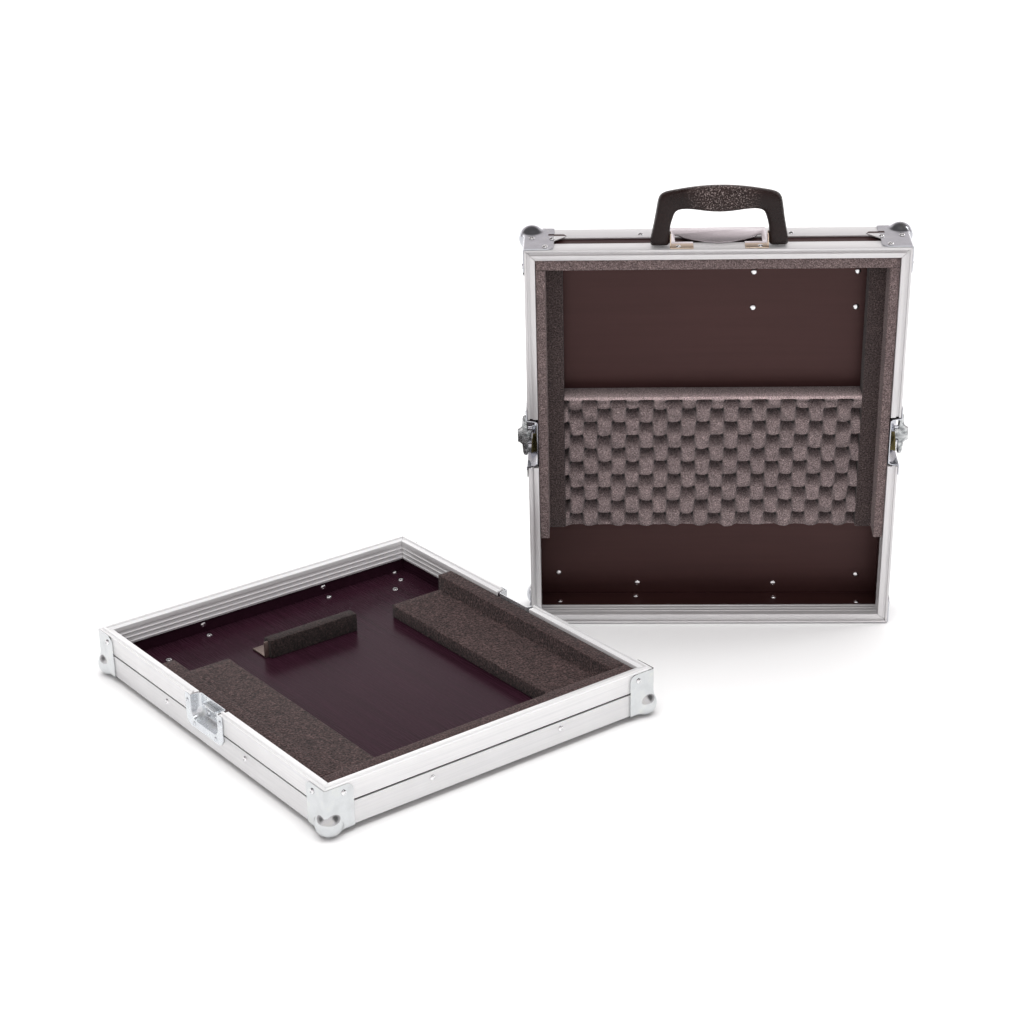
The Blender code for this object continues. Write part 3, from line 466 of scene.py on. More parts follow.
def piece(name, bm, materials, place, body, smooth=35.0, stands_for=()):
    """Finish a mesh as a piece: place it, smooth it and let it ride on its body."""
    if place is not None:
        bmesh.ops.transform(bm, matrix=place, verts=bm.verts)
    bmesh.ops.recalc_face_normals(bm, faces=bm.faces)
    mesh = bpy.data.meshes.new(name)
    bm.to_mesh(mesh)
    bm.free()
    for material in materials if isinstance(materials, (list, tuple)) else [materials]:
        mesh.materials.append(material)
    mesh.shade_smooth()
    mesh.set_sharp_from_angle(angle=math.radians(smooth))
    item = bpy.data.objects.new(name, mesh)
    bpy.context.scene.collection.objects.link(item)
    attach(item, body)
    if stands_for:
        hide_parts(*stands_for)
    return item


def ease_edges(bm, width, segments=2):
    """Round the edges that turn by more than 25 degrees."""
    limit = math.radians(25.0)
    edges = [e for e in bm.edges if len(e.link_faces) == 2 and e.calc_face_angle() > limit]
    bmesh.ops.bevel(bm, geom=edges, offset=width, offset_type="OFFSET", affect="EDGES", segments=segments,
                    profile=0.5, material=-1, clamp_overlap=True)


def merged_copy(node):
    """Copy a node's shape with its corners merged and its flats in one face each."""
    bm = bmesh.new()
    bm.from_mesh(NODES[node].data)
    bmesh.ops.remove_doubles(bm, verts=bm.verts, dist=0.00001)
    bmesh.ops.dissolve_limit(bm, angle_limit=math.radians(0.6), use_dissolve_boundaries=False,
                             verts=bm.verts, edges=bm.edges, delimit={"NORMAL"})
    return bm


def eased_copy(node, width, material):
    """Replace a node by its own shape with eased edges."""
    bm = merged_copy(node)
    ease_edges(bm, width)
    piece(node + "_eased", bm, material, None, NODES[node]["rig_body"], 35.0, (node,))


def in_ring(items):
    """Pair each item of a ring with the next one."""
    return zip(items, items[1:] + items[:1])


def flat_shape(bm, points, level=0.0):
    """Lay a face through points."""
    return bm.faces.new([bm.verts.new((x, y, level)) for x, y in points])


def cut_across(bm, spot, normal):
    """Cut every face along a plane and keep both sides."""
    bmesh.ops.bisect_plane(bm, geom=bm.verts[:] + bm.edges[:] + bm.faces[:], dist=1e-6, plane_co=spot,
                           plane_no=normal)


def raise_faces(bm, faces, offset):
    """Extrude faces by an offset and hand back the new faces."""
    made = bmesh.ops.extrude_face_region(bm, geom=faces)
    moved = [g for g in made["geom"] if isinstance(g, bmesh.types.BMVert)]
    bmesh.ops.translate(bm, verts=moved, vec=offset)
    return [g for g in made["geom"] if isinstance(g, bmesh.types.BMFace)]


def dome(bm, place, radius=0.0034, height=0.0017, eye=True):
    """Turn a rivet head about the z axis of a place."""
    profile = [(radius, 0.0), (radius, height * 0.22), (radius * 0.90, height * 0.55),
               (radius * 0.66, height * 0.88), (radius * 0.36, height)]
    if eye:
        profile += [(radius * 0.30, height * 0.72), (0.0, height * 0.68)]
    else:
        profile += [(0.0, height * 1.05)]
    verts = [bm.verts.new(place @ Vector((x, 0, z))) for x, z in profile]
    edges = [bm.edges.new(pair) for pair in zip(verts, verts[1:])]
    tip = verts[-1].co.copy()
    bmesh.ops.spin(bm, geom=verts + edges, axis=place.to_3x3() @ Vector((0, 0, 1)),
                   cent=place.translation, steps=14, angle=math.tau, use_merge=True)
    tips = [v for v in bm.verts if (v.co - tip).length < 1e-6]
    bmesh.ops.remove_doubles(bm, verts=tips, dist=1e-6)


# Rails, boards and panels

def dress_rails():
    """Ease every angle and rim profile and give each its streaks."""
    for node in sorted(NODES):
        if "_angle_" in node or "_rim_" in node:
            finish = "lid" if node.startswith("lid") else "rim" if "_rim_" in node else "tray"
            across = node.split("_")[2] in ("front", "back", "top", "bottom")
            eased_copy(node, 0.00035, ALUMINIUM[finish][0 if across else 1])


def dress_boards():
    """Give the plywood its film."""
    for node, item in NODES.items():
        if "_board_" in node or node in ("tray_floor", "lid_panel"):
            item.data.materials.clear()
            item.data.materials.append(TRAY_FILM if node.startswith("tray") else LID_FILM)


# Ball corners

def ball_corner(bm, height):
    """Press a three-leaf corner with its ball around the origin, walls along x, y and z."""
    out = -LEAF_OUT
    bmesh.ops.create_cube(bm, size=1.0)
    size = (LEAF_WIDTH - out, LEAF_WIDTH - out, height - out)
    bmesh.ops.scale(bm, vec=size, verts=bm.verts)
    bmesh.ops.translate(bm, vec=[out + s / 2 for s in size], verts=bm.verts)
    far = [f for f in bm.faces if max(f.normal) > 0.5]
    bmesh.ops.delete(bm, geom=far, context="FACES")
    free = [v for v in bm.verts if sum(c > LEAF_WIDTH - 1e-4 for c in v.co) == 2]
    bmesh.ops.bevel(bm, geom=free, offset=LEAF_ROUND, offset_type="OFFSET", affect="VERTICES",
                    segments=8, profile=0.5, material=-1)
    folds = [e for e in bm.edges if len(e.link_faces) == 2]
    bmesh.ops.bevel(bm, geom=folds, offset=LEAF_FOLD, offset_type="OFFSET", affect="EDGES",
                    segments=4, profile=0.5, material=-1)
    first, step, cuts = out + 0.0018, 0.0011, 21
    for axis in range(3):
        normal = Vector((axis == 0, axis == 1, axis == 2))
        for k in range(1, cuts + 1):
            cut_across(bm, normal * (first + k * step), normal)
    centre = Vector((BALL_SET_IN,) * 3)
    for vert in bm.verts:
        arm = vert.co - centre
        gap = (arm.length - BALL_RADIUS) / BALL_BLEND
        if gap < 3.0:
            reach = BALL_RADIUS + BALL_BLEND * math.log1p(math.exp(gap))
            vert.co = centre + arm.normalized() * reach


def notch_leaf(bm, across):
    """Cut the slot in the free edge of the leaf on the lid's top side."""
    run = Vector((across == 0, across == 1, 0))
    up = Vector((0, 0, 1))
    for spot, normal in ((up * NOTCH_LOW, up), (up * NOTCH_HIGH, up), (run * NOTCH_START, run)):
        cut_across(bm, spot, normal)
    slot = []
    for face in bm.faces:
        middle = face.calc_center_median()
        on_leaf = middle[across] > NOTCH_START and middle[1 - across] < 0.0
        if on_leaf and NOTCH_LOW < middle.z < NOTCH_HIGH:
            slot.append(face)
    bmesh.ops.delete(bm, geom=slot, context="FACES")


# Outlines beside a top corner of the lid, from the corner and from the panel, in millimetres; the slot
# outline is a dark sheet that paints the shadow in the gap above the tongue
TONGUE = [(26, 24.2), (44.5, 24.4), (46.5, 25.2), (33, 38.5), (26, 38.5)]
SLOT_SHADOW_SHEET = [(26.5, 18.4), (44.0, 18.8), (47.0, 23.9), (26.5, 23.9)]


def corner_tongues():
    """Lay the pointed tongue and, in the gap above it, a dark sheet that paints its shadow, beside each top
    corner of the lid.
    """
    middle = WIDTH / 2
    spot = LID @ side_frame("back") @ Matrix.Translation((middle, 0, 0))
    parts = (
        ("tongue", TONGUE, 0.0001, 0.0012, ALUMINIUM["lid"][0], "aluminium"),
        # The slot is a dark film sheet on the angle: a painted shadow of the gap
        ("slot", SLOT_SHADOW_SHEET, 0.0004, 0.0008, LID_FILM, "phenolic_plywood"),
    )
    for side, flip in (("left", 1), ("right", -1)):
        for name, points, low, thick, material, slot in parts:
            bm = bmesh.new()
            shape = [(flip * (middle - a / 1000), z / 1000) for a, z in points]
            raise_faces(bm, [flat_shape(bm, shape, low)], (0, 0, thick))
            bmesh.ops.recalc_face_normals(bm, faces=bm.faces)
            ease_edges(bm, 0.0001, 1)
            piece("corner_%s_%s" % (name, side), bm, material, spot, "lid")


def dress_corners():
    """Replace the ball corners by pressed ones."""
    corners = {
        "tray": (TRAY, TRAY_HEIGHT, ("front_left", "front_right", "back_right", "back_left")),
        "lid": (LID, LID_HEIGHT, ("bottom_left", "bottom_right", "top_right", "top_left")),
    }
    spots = ((0, 0, 0.0), (WIDTH, 0, math.pi / 2), (WIDTH, DEPTH, math.pi), (0, DEPTH, -math.pi / 2))
    for half, (place, height, names) in corners.items():
        for name, (x, y, turn) in zip(names, spots):
            bm = bmesh.new()
            ball_corner(bm, height - LEAF_BELOW_RIM[half])
            if half == "lid" and name.startswith("top"):
                notch_leaf(bm, 0 if name == "top_right" else 1)
            bmesh.ops.recalc_face_normals(bm, faces=bm.faces)
            if sum((f.calc_center_median() - Vector((0.02,) * 3)).dot(f.normal) for f in bm.faces) < 0:
                bmesh.ops.reverse_faces(bm, faces=bm.faces)
            bmesh.ops.solidify(bm, geom=bm.faces[:], thickness=LEAF_SHEET)
            spot = place @ Matrix.Translation((x, y, 0)) @ Matrix.Rotation(turn, 4, "Z")
            node = "%s_ball_corner_%s" % (half, name)
            piece(node + "_pressed", bm, ZINC[half], spot, half, 40.0, (node,))


# Foam

def ruffle(bm, amount, size, seed):
    """Move a foam piece's points a little, as cut foam is never quite true."""
    for vert in bm.verts:
        shift = noise.noise_vector(vert.co / size + Vector((seed, 0, 0)))
        vert.co += shift * amount


def cut_foam(name, section, start, end, along, material, body, place, node, seed, inner=None):
    """Cut a foam strip with a section, soft edges and a slightly uneven face; the low faces of an inner step
    within the given reach take the second, darker foam, a painted shade.
    """
    bm = bmesh.new()
    if along == "y":
        corners = [bm.verts.new((p, start, q)) for p, q in section]
        normal = Vector((0, 1, 0))
    else:
        corners = [bm.verts.new((start, p, q)) for p, q in section]
        normal = Vector((1, 0, 0))
    raise_faces(bm, [bm.faces.new(corners)], normal * (end - start))
    bmesh.ops.recalc_face_normals(bm, faces=bm.faces)
    ease_edges(bm, 0.0009)
    spacing = 0.012
    count = max(2, int((end - start) / spacing))
    for k in range(1, count):
        cut_across(bm, normal * (start + (end - start) * k / count), normal)
    # Painted shade: the low faces of the inner step take the second, darker foam
    if inner:
        for face in bm.faces:
            middle = face.calc_center_median()
            low = middle.z < INNER_STRIP_TOP + 0.0005
            face.material_index = int(low and inner[0] < middle.x < inner[1])
    ruffle(bm, 0.00022, 0.014, seed)
    item = piece(name, bm, material, place, body, 50.0, (node,))


def dress_tray_foam():
    """Lay the tray's foam."""
    tall_in = INSIDE + TALL_FOAM
    low_in = tall_in + LOW_FOAM
    strip_in = tall_in + 0.0003
    section = [(INSIDE, FOAM_SEAT), (strip_in, FOAM_SEAT), (strip_in, TALL_FOAM_TOP), (INSIDE, TALL_FOAM_TOP)]
    cut_foam("front_foam_strip", section, INSIDE, WIDTH - INSIDE, "x", FRONT_FOAM, "tray", TRAY,
             "tray_foam_front", 1)
    stepped = [(INSIDE, FOAM_SEAT), (low_in, FOAM_SEAT), (low_in, LOW_FOAM_TOP), (tall_in, LOW_FOAM_TOP),
               (tall_in, TALL_FOAM_TOP), (INSIDE, TALL_FOAM_TOP)]
    mirrored = [(WIDTH - p, q) for p, q in stepped]
    for seed, (side, outline) in enumerate((("left", stepped), ("right", mirrored)), 2):
        cut_foam(side + "_foam_block", outline, strip_in + 0.0003, TRAY_FOAM_BACK, "y", TRAY_FOAM, "tray",
                 TRAY, "tray_foam_" + side, seed)
    # The sleeve folds over the cable stop's standing leg
    sleeve = [(0.3605, FOAM_SEAT), (0.3657, FOAM_SEAT), (0.3657, 0.0303), (0.3683, 0.0303),
              (0.3683, 0.0121), (0.3755, 0.0121), (0.3755, 0.032), (0.3605, 0.032)]
    cut_foam("cable_stop_sleeve", sleeve, 0.155, 0.275, "x", DARK_FOAM, "tray", TRAY, "cable_stop_foam", 4)
    eased_copy("cable_stop_angle", 0.0003, BRONZE)


def dress_lid_foam():
    """Lay the lid's foam strips and the egg-crate pad."""
    strip_low = DEPTH - INSIDE - TOP_STRIP
    top = [(strip_low, FOAM_SEAT), (DEPTH - INSIDE, FOAM_SEAT), (DEPTH - INSIDE, LID_FOAM_TOP),
           (strip_low, LID_FOAM_TOP)]
    cut_foam("top_foam_strip", top, INSIDE, WIDTH - INSIDE, "x", LID_FOAM_PAINTED_LIGHTER, "lid", LID, "lid_foam_top", 5)
    outer = INSIDE + OUTER_STRIP
    inner = outer + INNER_STRIP
    stepped = [(INSIDE, FOAM_SEAT), (inner, FOAM_SEAT), (inner, INNER_STRIP_TOP), (outer, INNER_STRIP_TOP),
               (outer, LID_FOAM_TOP), (INSIDE, LID_FOAM_TOP)]
    mirrored = [(WIDTH - p, q) for p, q in stepped]
    for side, outline, reach in (("left", stepped, (outer + 0.0004, WIDTH)),
                                 ("right", mirrored, (0.0, WIDTH - outer - 0.0004))):
        cut_foam(side + "_lid_foam", outline, LID_FOAM_START, strip_low - 0.0003, "y", [LID_FOAM_PAINTED_LIGHTER, PAINTED_SHADE_STEP_FOAM],
                 "lid", LID, "lid_foam_" + side, len(side), inner=reach)
    egg_crate(inner + 0.0003, WIDTH - inner - 0.0003, PAD_START, PAD_END, INNER_STRIP_TOP)


def smooth_step(value, low, high):
    """Rise softly from 0 to 1 between two values."""
    share = min(1.0, max(0.0, (value - low) / (high - low)))
    return share * share * (3 - 2 * share)


def egg_crate(left, right, start, end, peak):
    """Cut the convoluted pad: staggered rounded fingers between deep pits, with shade painted under each
    finger and light painted on the top strip.
    """
    across = math.tau / FINGER_SPACING
    down = math.tau / ROW_SPACING
    first = WIDTH / 2 + 0.0057
    row = end - 0.0084
    pit = FOAM_SEAT + 0.0040
    lean = 0.85

    def level(x, y):
        """Find how high the cut face stands at a point."""
        sway = 0.0014 * noise.noise(Vector((x, y, 4.0)) / 0.03)
        side = math.cos(across * (x + sway - first))
        drop = down * (y + sway - row)
        share = smooth_step(side * math.cos(drop + lean * side * math.cos(drop)), -0.90, 0.35)
        margin = min(1.0, max(0.0, (y - end + 0.0085) / 0.0045))
        share += (1 - share) * margin * margin
        lump = 1.0 - 0.10 * (0.5 + noise.noise(Vector((x, y, 0)) / 0.012)) * (1 - margin)
        return pit + (peak - pit) * share * lump

    bm = bmesh.new()
    spacing = 0.0017
    bmesh.ops.create_grid(bm, x_segments=int((right - left) / spacing),
                          y_segments=int((end - start) / spacing), size=0.5)
    painted_open_sky = bm.verts.layers.float.new("painted_open_sky")
    for vert in bm.verts:
        x = left + (vert.co.x + 0.5) * (right - left)
        y = start + (vert.co.y + 0.5) * (end - start)
        vert.co = Vector((x, y, level(x, y)))
        # Paint shade under each finger: the more the face just above overhangs a point, the darker it is
        # painted; the top strip is painted fully lit
        overhang = max(level(x, y + 0.0035) - vert.co.z, level(x, y + 0.0015) - vert.co.z)
        vert[painted_open_sky] = 0.8 - 0.8 * min(1.0, max(0.0, overhang / 0.0055))
        if y > end - 0.0050:
            vert[painted_open_sky] = 1.0
    rim = [e for e in bm.edges if e.is_boundary]
    skirt = bmesh.ops.extrude_edge_only(bm, edges=rim)
    for item in skirt["geom"]:
        if isinstance(item, bmesh.types.BMVert):
            item.co.z = FOAM_SEAT
            # The pad's sides are painted partly in shade
            item[painted_open_sky] = 0.6
    bmesh.ops.holes_fill(bm, edges=[e for e in bm.edges if e.is_boundary], sides=0)
    item = piece("egg_crate_pad", bm, PAD_FOAM, LID, "lid", 55.0, ("lid_foam_egg_crate",))


# Dishes, keepers and latches

def rounded_loop(bm, half_width, half_height, radius, level):
    """Draw a closed loop with rounded corners around the origin."""
    steps = 6
    verts = []
    for quarter, (sx, sy) in enumerate(((1, 1), (-1, 1), (-1, -1), (1, -1))):
        for k in range(steps + 1):
            angle = math.radians(90 * quarter + 90 * k / steps)
            verts.append(bm.verts.new((sx * (half_width - radius) + radius * math.cos(angle),
                                       sy * (half_height - radius) + radius * math.sin(angle), level)))
    return [bm.edges.new(pair) for pair in in_ring(verts)]


def pressed_dish(height, plate_length, plate_low, well_length, well_low):
    """Press a plate with a scooped well that is open at the rim; x along, y up to the rim, z outwards."""
    bm = bmesh.new()
    face = DISH_LIFT + DISH_SHEET
    plate_reach = height - plate_low
    well_reach = height - well_low
    loops = [rounded_loop(bm, plate_length / 2 - 0.0004, plate_reach - 0.0004, 0.0116, face),
             rounded_loop(bm, well_length / 2 + 0.0016, well_reach + 0.0016, 0.0116, face),
             rounded_loop(bm, well_length / 2 + 0.0006, well_reach + 0.0006, 0.0106, face - 0.0003)]
    steps = 8
    for k in range(1, steps + 1):
        turn = math.radians(90 * k / steps)
        share = 1 - math.cos(turn)
        level = DISH_LIFT - (DISH_DEPTH + DISH_LIFT) * math.sin(turn)
        loops.append(rounded_loop(bm, well_length / 2 - 0.0030 * share, well_reach - 0.0098 * share,
                                  0.010 - 0.004 * share, level))
    for first, second in zip(loops, loops[1:]):
        bmesh.ops.bridge_loops(bm, edges=first + second)
    bmesh.ops.holes_fill(bm, edges=loops[-1], sides=0)
    bmesh.ops.bisect_plane(bm, geom=bm.verts[:] + bm.edges[:] + bm.faces[:], dist=1e-6, plane_co=(0, 0, 0),
                           plane_no=(0, 1, 0), clear_outer=True)
    bmesh.ops.recalc_face_normals(bm, faces=bm.faces)
    if max(bm.faces, key=lambda f: f.calc_area()).normal.z < 0:
        bmesh.ops.reverse_faces(bm, faces=bm.faces)
    bmesh.ops.translate(bm, vec=(0, height, 0), verts=bm.verts)
    bmesh.ops.solidify(bm, geom=bm.faces[:], thickness=0.0011)
    return bm


def latch_spot(half, side):
    """Give the frame at a latch: x along the side, y from the panel to the rim, z outwards."""
    place, middle = (TRAY, TRAY_LATCH) if half == "tray" else (LID, LID_LATCH)
    along = middle if side == "right" else DEPTH - middle
    return place @ side_frame(side) @ Matrix.Translation((along, 0, 0))


def bent_plate(bm, section, width):
    """Bend a plate: a section in y and z, run across x."""
    made = bm.faces.new([bm.verts.new((-width / 2, y, z)) for y, z in section])
    raise_faces(bm, [made], (width, 0, 0))
    bmesh.ops.recalc_face_normals(bm, faces=bm.faces)
    ease_edges(bm, 0.0003)


def dish_rivets(bm, spots):
    """Rivet a dish's plate, at places along the side and up from the panel."""
    for along, up in spots:
        for x in (-along, along):
            dome(bm, Matrix.Translation((x, up, LEAF_OUT)), 0.0027, 0.0012)


def dress_catches():
    """Press the tray's catches and rivet their keepers."""
    high = TRAY_HEIGHT - KEEPER_BELOW_RIM
    low = high - KEEPER_HEIGHT
    back = -DISH_DEPTH + 0.0001
    front = -DISH_DEPTH + KEEPER_SHEET
    nose = front + KEEPER_NOSE
    under = high - KEEPER_SHEET
    section = [(low, front), (low, back), (high, back), (high, nose), (under, nose), (under, front)]
    for side in ("left", "right"):
        spot = latch_spot("tray", side)
        bm = pressed_dish(TRAY_HEIGHT, 0.080, 0.0125, 0.056, 0.0225)
        node = "tray_catch_" + side
        piece(node + "_pressed", bm, SATIN_ZINC, spot, "tray", 38.0, (node,))
        bm = bmesh.new()
        bent_plate(bm, section, KEEPER_WIDTH)
        for x in (-0.0080, 0.0080):
            dome(bm, Matrix.Translation((x, high - 0.0105, front)), 0.0030, 0.0013)
        dish_rivets(bm, ((0.0230, 0.0175), (0.0350, 0.0420)))
        piece("catch_keeper_" + side, bm, SATIN_ZINC, spot, "tray", 38.0)


# Half the outline of a latch wing, along the side and out from its hinge, in millimetres
WING_HALF = [(7.5, -1.6), (7.5, 3.0), (22.0, 3.2), (25.2, 4.4), (26.0, 6.4), (25.0, 8.6), (21.5, 9.6),
             (11.5, 10.4), (9.4, 12.6), (7.8, 15.5)]

# Outline of the nose that grips the keeper, along the side and out from the hook, in millimetres
HOOK_NOSE = [(-12, 0.2), (9, 0.2), (13, 5.0), (12.6, 7.0), (2, 6.4), (-7, 5.4), (-12, 4.0)]


def cast_wing(side, spot):
    """Cast the folding butterfly wing with full round lobes."""
    node = "latch_wing_" + side
    bm = bmesh.new()
    half = [(p / 1000, q / 1000) for p, q in WING_HALF]
    outline = half + [(-p, q) for p, q in half[::-1]]
    raise_faces(bm, [flat_shape(bm, outline, -WING_SHEET / 2)], (0, 0, WING_SHEET))
    bmesh.ops.recalc_face_normals(bm, faces=bm.faces)
    broad = [f for f in bm.faces if abs(f.normal.z) > 0.9]
    bmesh.ops.inset_individual(bm, faces=broad, thickness=0.0021, depth=WING_SWELL)
    ease_edges(bm, 0.0003)
    lie = Matrix(((1, 0, 0, 0), (0, 0, 1, HINGE_UP), (0, 1, 0, HINGE_OUT), (0, 0, 0, 1)))
    piece(node + "_cast", bm, WING_ZINC, spot @ lie, NODES[node]["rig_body"], 60.0, (node,))


def bend_hook(side, spot):
    """Bend the hook plate with the broad nose that grips the keeper."""
    node = "latch_hook_" + side
    bm = merged_copy(node)
    ease_edges(bm, 0.0003)
    bmesh.ops.transform(bm, matrix=spot.inverted(), verts=bm.verts)
    reach = max(v.co.y for v in bm.verts)
    back = min(v.co.z for v in bm.verts)
    flip = 1 if side == "left" else -1
    made = flat_shape(bm, [(flip * p / 1000, back + q / 1000) for p, q in HOOK_NOSE])
    nose = raise_faces(bm, [made], (0, 0, 0.0010))
    moved = {v for f in nose for v in f.verts} | set(made.verts)
    lie = Matrix(((1, 0, 0, 0), (0, 0, -1, reach), (0, 1, 0, 0), (0, 0, 0, 1)))
    bmesh.ops.transform(bm, matrix=lie, verts=list(moved))
    piece(node + "_bent", bm, YELLOW_ZINC, spot, NODES[node]["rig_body"], 35.0, (node,))


def dress_latches():
    """Press the latch dishes and finish rotors, hooks and wings."""
    for side in ("left", "right"):
        spot = latch_spot("lid", side)
        bm = pressed_dish(LID_HEIGHT, 0.086, 0.014, 0.058, 0.020)
        dish_rivets(bm, ((0.0250, 0.0170), (0.0365, 0.0560)))
        node = "lid_latch_dish_" + side
        piece(node + "_pressed", bm, ZINC["lid"], spot, "lid", 38.0, (node,))
        eased_copy("latch_rotor_" + side, 0.0004, ZINC["lid"])
        cast_wing(side, spot)
        bend_hook(side, spot)


# Handle and its bracket

def handle_section(outer, inner, depth):
    """Place one rounded cross-section of the handle between its outer and inner points, in millimetres."""
    (ox, oy), (ix, iy) = outer, inner
    shape = [(0.0, -0.5), (0.0, 0.5), (0.17, 0.92), (0.5, 1.0), (0.83, 0.92), (1.0, 0.5), (1.0, -0.5),
             (0.83, -0.92), (0.5, -1.0), (0.17, -0.92)]
    return [Vector((ix + (ox - ix) * t, iy + (oy - iy) * t, d * depth)) / 1000 for t, d in shape]


# Outer point, inner point and half depth of the handle from one foot to the middle, in millimetres
HANDLE_SECTIONS = [
    ((76.3, 1.2), (55.8, 1.2), 5.4), ((76.7, 5.0), (54.6, 5.0), 8.8), ((76.0, 11.0), (54.6, 11.0), 9.4),
    ((74.4, 19.0), (54.7, 17.5), 9.4), ((72.3, 30.0), (53.9, 25.0), 9.4), ((70.6, 40.5), (51.8, 32.0), 9.4),
    ((69.2, 50.5), (50.2, 37.5), 9.4), ((67.6, 58.2), (47.6, 41.2), 9.4), ((62.0, 62.6), (43.4, 43.0), 9.4),
    ((49.0, 65.0), (37.2, 43.5), 9.4), ((34.0, 67.6), (27.0, 42.5), 9.5), ((17.0, 69.6), (13.8, 40.2), 9.6),
    ((0.0, 70.2), (0.0, 39.2), 9.6),
]


def dress_handle():
    """Mould the handle as one swept body with a full grip and round feet."""
    bm = bmesh.new()
    mirrored = [((-o[0], o[1]), (-i[0], i[1]), d) for o, i, d in HANDLE_SECTIONS]
    sections = mirrored + HANDLE_SECTIONS[-2::-1]
    ring = [bm.verts.new(point) for point in handle_section(*sections[0])]
    loop = [bm.edges.new(pair) for pair in in_ring(ring)]
    for section in sections[1:]:
        made = bmesh.ops.extrude_edge_only(bm, edges=loop)
        fresh = {g for g in made["geom"] if isinstance(g, bmesh.types.BMVert)}
        ring = [next(e.other_vert(v) for e in v.link_edges if e.other_vert(v) in fresh) for v in ring]
        for vert, point in zip(ring, handle_section(*section)):
            vert.co = point
        loop = [bm.edges.get(pair) for pair in in_ring(ring)]
    ends = bmesh.ops.holes_fill(bm, edges=[e for e in bm.edges if e.is_boundary], sides=0)["faces"]
    bmesh.ops.inset_individual(bm, faces=ends, thickness=0.0016)
    spot = LID @ side_frame("back") @ Matrix.Translation((WIDTH - HANDLE_MIDDLE, HANDLE_LEVEL, 0))
    spot = spot @ Matrix(((-1, 0, 0, 0), (0, 0, 1, 0), (0, 1, 0, 0), (0, 0, 0, 1)))
    item = piece("moulded_handle", bm, PLASTIC, spot, "handle", 180.0, ("carry_handle",))
    rounded = item.modifiers.new("rounded", "SUBSURF")
    rounded.levels = 3
    rounded.render_levels = 3


def dress_bracket():
    """Ease the bracket plate and its ears."""
    bm = merged_copy("handle_bracket")
    ease_edges(bm, 0.00025)
    cut_across(bm, LID @ Vector((0, 0, TAB_LEVEL)), LID.to_3x3() @ Vector((0, 0, 1)))
    back_to_shell = LID.inverted()
    # Faces above the cut, the tabs, take the tan steel: a painted reflection of the handle
    for face in bm.faces:
        face.material_index = int((back_to_shell @ face.calc_center_median()).z > TAB_LEVEL)
    piece("handle_bracket_eased", bm, [BRACKET_STEEL, TAB_STEEL_PAINTED_REFLECTION], None, "lid", 35.0,
          ("handle_bracket",))
    bm = bmesh.new()
    middle = Matrix.Translation((WIDTH - HANDLE_MIDDLE, LID_HEIGHT - 0.0060, 0.0015))
    middle = LID @ side_frame("back") @ middle
    for along in (TAB_SCREW, -TAB_SCREW):
        dome(bm, middle @ Matrix.Translation((along, 0, 0)), 0.0030, 0.0014)
    piece("bracket_tab_screws", bm, STEEL["lid"], None, "lid", 40.0)


# Rivets

# Rivets of a corner's leaf on each side of the lid, from the corner and up from the panel
UPRIGHT_LEAF = [(0.0215, LID_HEIGHT - LEAF_RIVET_BELOW_RIM), (LEAF_RIVET_IN, LEAF_RIVET_IN)]
LID_LEAF_RIVETS = {
    "front": [(LEAF_RIVET_IN, LEAF_RIVET_IN)],
    "back": [(0.0235, LID_HEIGHT - LEAF_RIVET_BELOW_RIM), (0.0310, 0.0330), (0.0080, 0.0310)],
    "left": UPRIGHT_LEAF,
    "right": UPRIGHT_LEAF,
}
TRAY_LEAF_RIVETS = [(0.0215, TRAY_HEIGHT - LEAF_RIVET_BELOW_RIM)]

# Rivets that show inside, across and along the panel, and in the walls
TRAY_FLOOR_RIVETS = [(0.130, 0.463), (0.300, 0.4635), (0.0596, 0.434), (0.3768, 0.4295),
                     (0.3986, 0.4488), (0.406, 0.474)]
TRAY_WALL_RIVETS = [(0.130, 0.019), (0.300, 0.019)]
LID_PANEL_RIVETS = [(0.260, 0.435), (0.260, 0.391), (0.378, 0.435), (0.378, 0.391), (0.032, 0.039),
                    (0.129, 0.024), (0.2955, 0.023), (0.3965, 0.035)]
LID_WALL_RIVETS = [(0.0338, 0.029), (0.127, 0.017), (0.296, 0.021), (0.396, 0.0325)]


def side_rivets(bm, place, side, spots, proud):
    """Set rivets on a side, in mirrored pairs: from its corners, up to the rim, standing on a skin."""
    length = WIDTH if side in ("front", "back") else DEPTH
    for along, up in spots + [(length - a, b) for a, b in spots]:
        dome(bm, place @ side_frame(side) @ Matrix.Translation((along, up, proud)))


def dress_rivets():
    """Set the rivets of both halves."""
    for half, place in (("tray", TRAY), ("lid", LID)):
        bm = bmesh.new()
        for side in ("front", "right", "back", "left"):
            length = WIDTH if side in ("front", "back") else DEPTH
            side_rivets(bm, place, side, [(length / 2 - SIDE_RIVET_REACH, SIDE_RIVET_LEVEL)], 0.0)
            near = LID_LEAF_RIVETS[side] if half == "lid" else TRAY_LEAF_RIVETS
            side_rivets(bm, place, side, near, LEAF_OUT)
        for x in (LEAF_RIVET_IN, WIDTH - LEAF_RIVET_IN):
            for y in (LEAF_RIVET_IN, DEPTH - LEAF_RIVET_IN):
                under = place @ Matrix.Translation((x, y, -LEAF_OUT))
                dome(bm, under @ Matrix.Rotation(math.pi, 4, "X"))
        piece(half + "_rivets", bm, STEEL[half], None, half, 40.0)


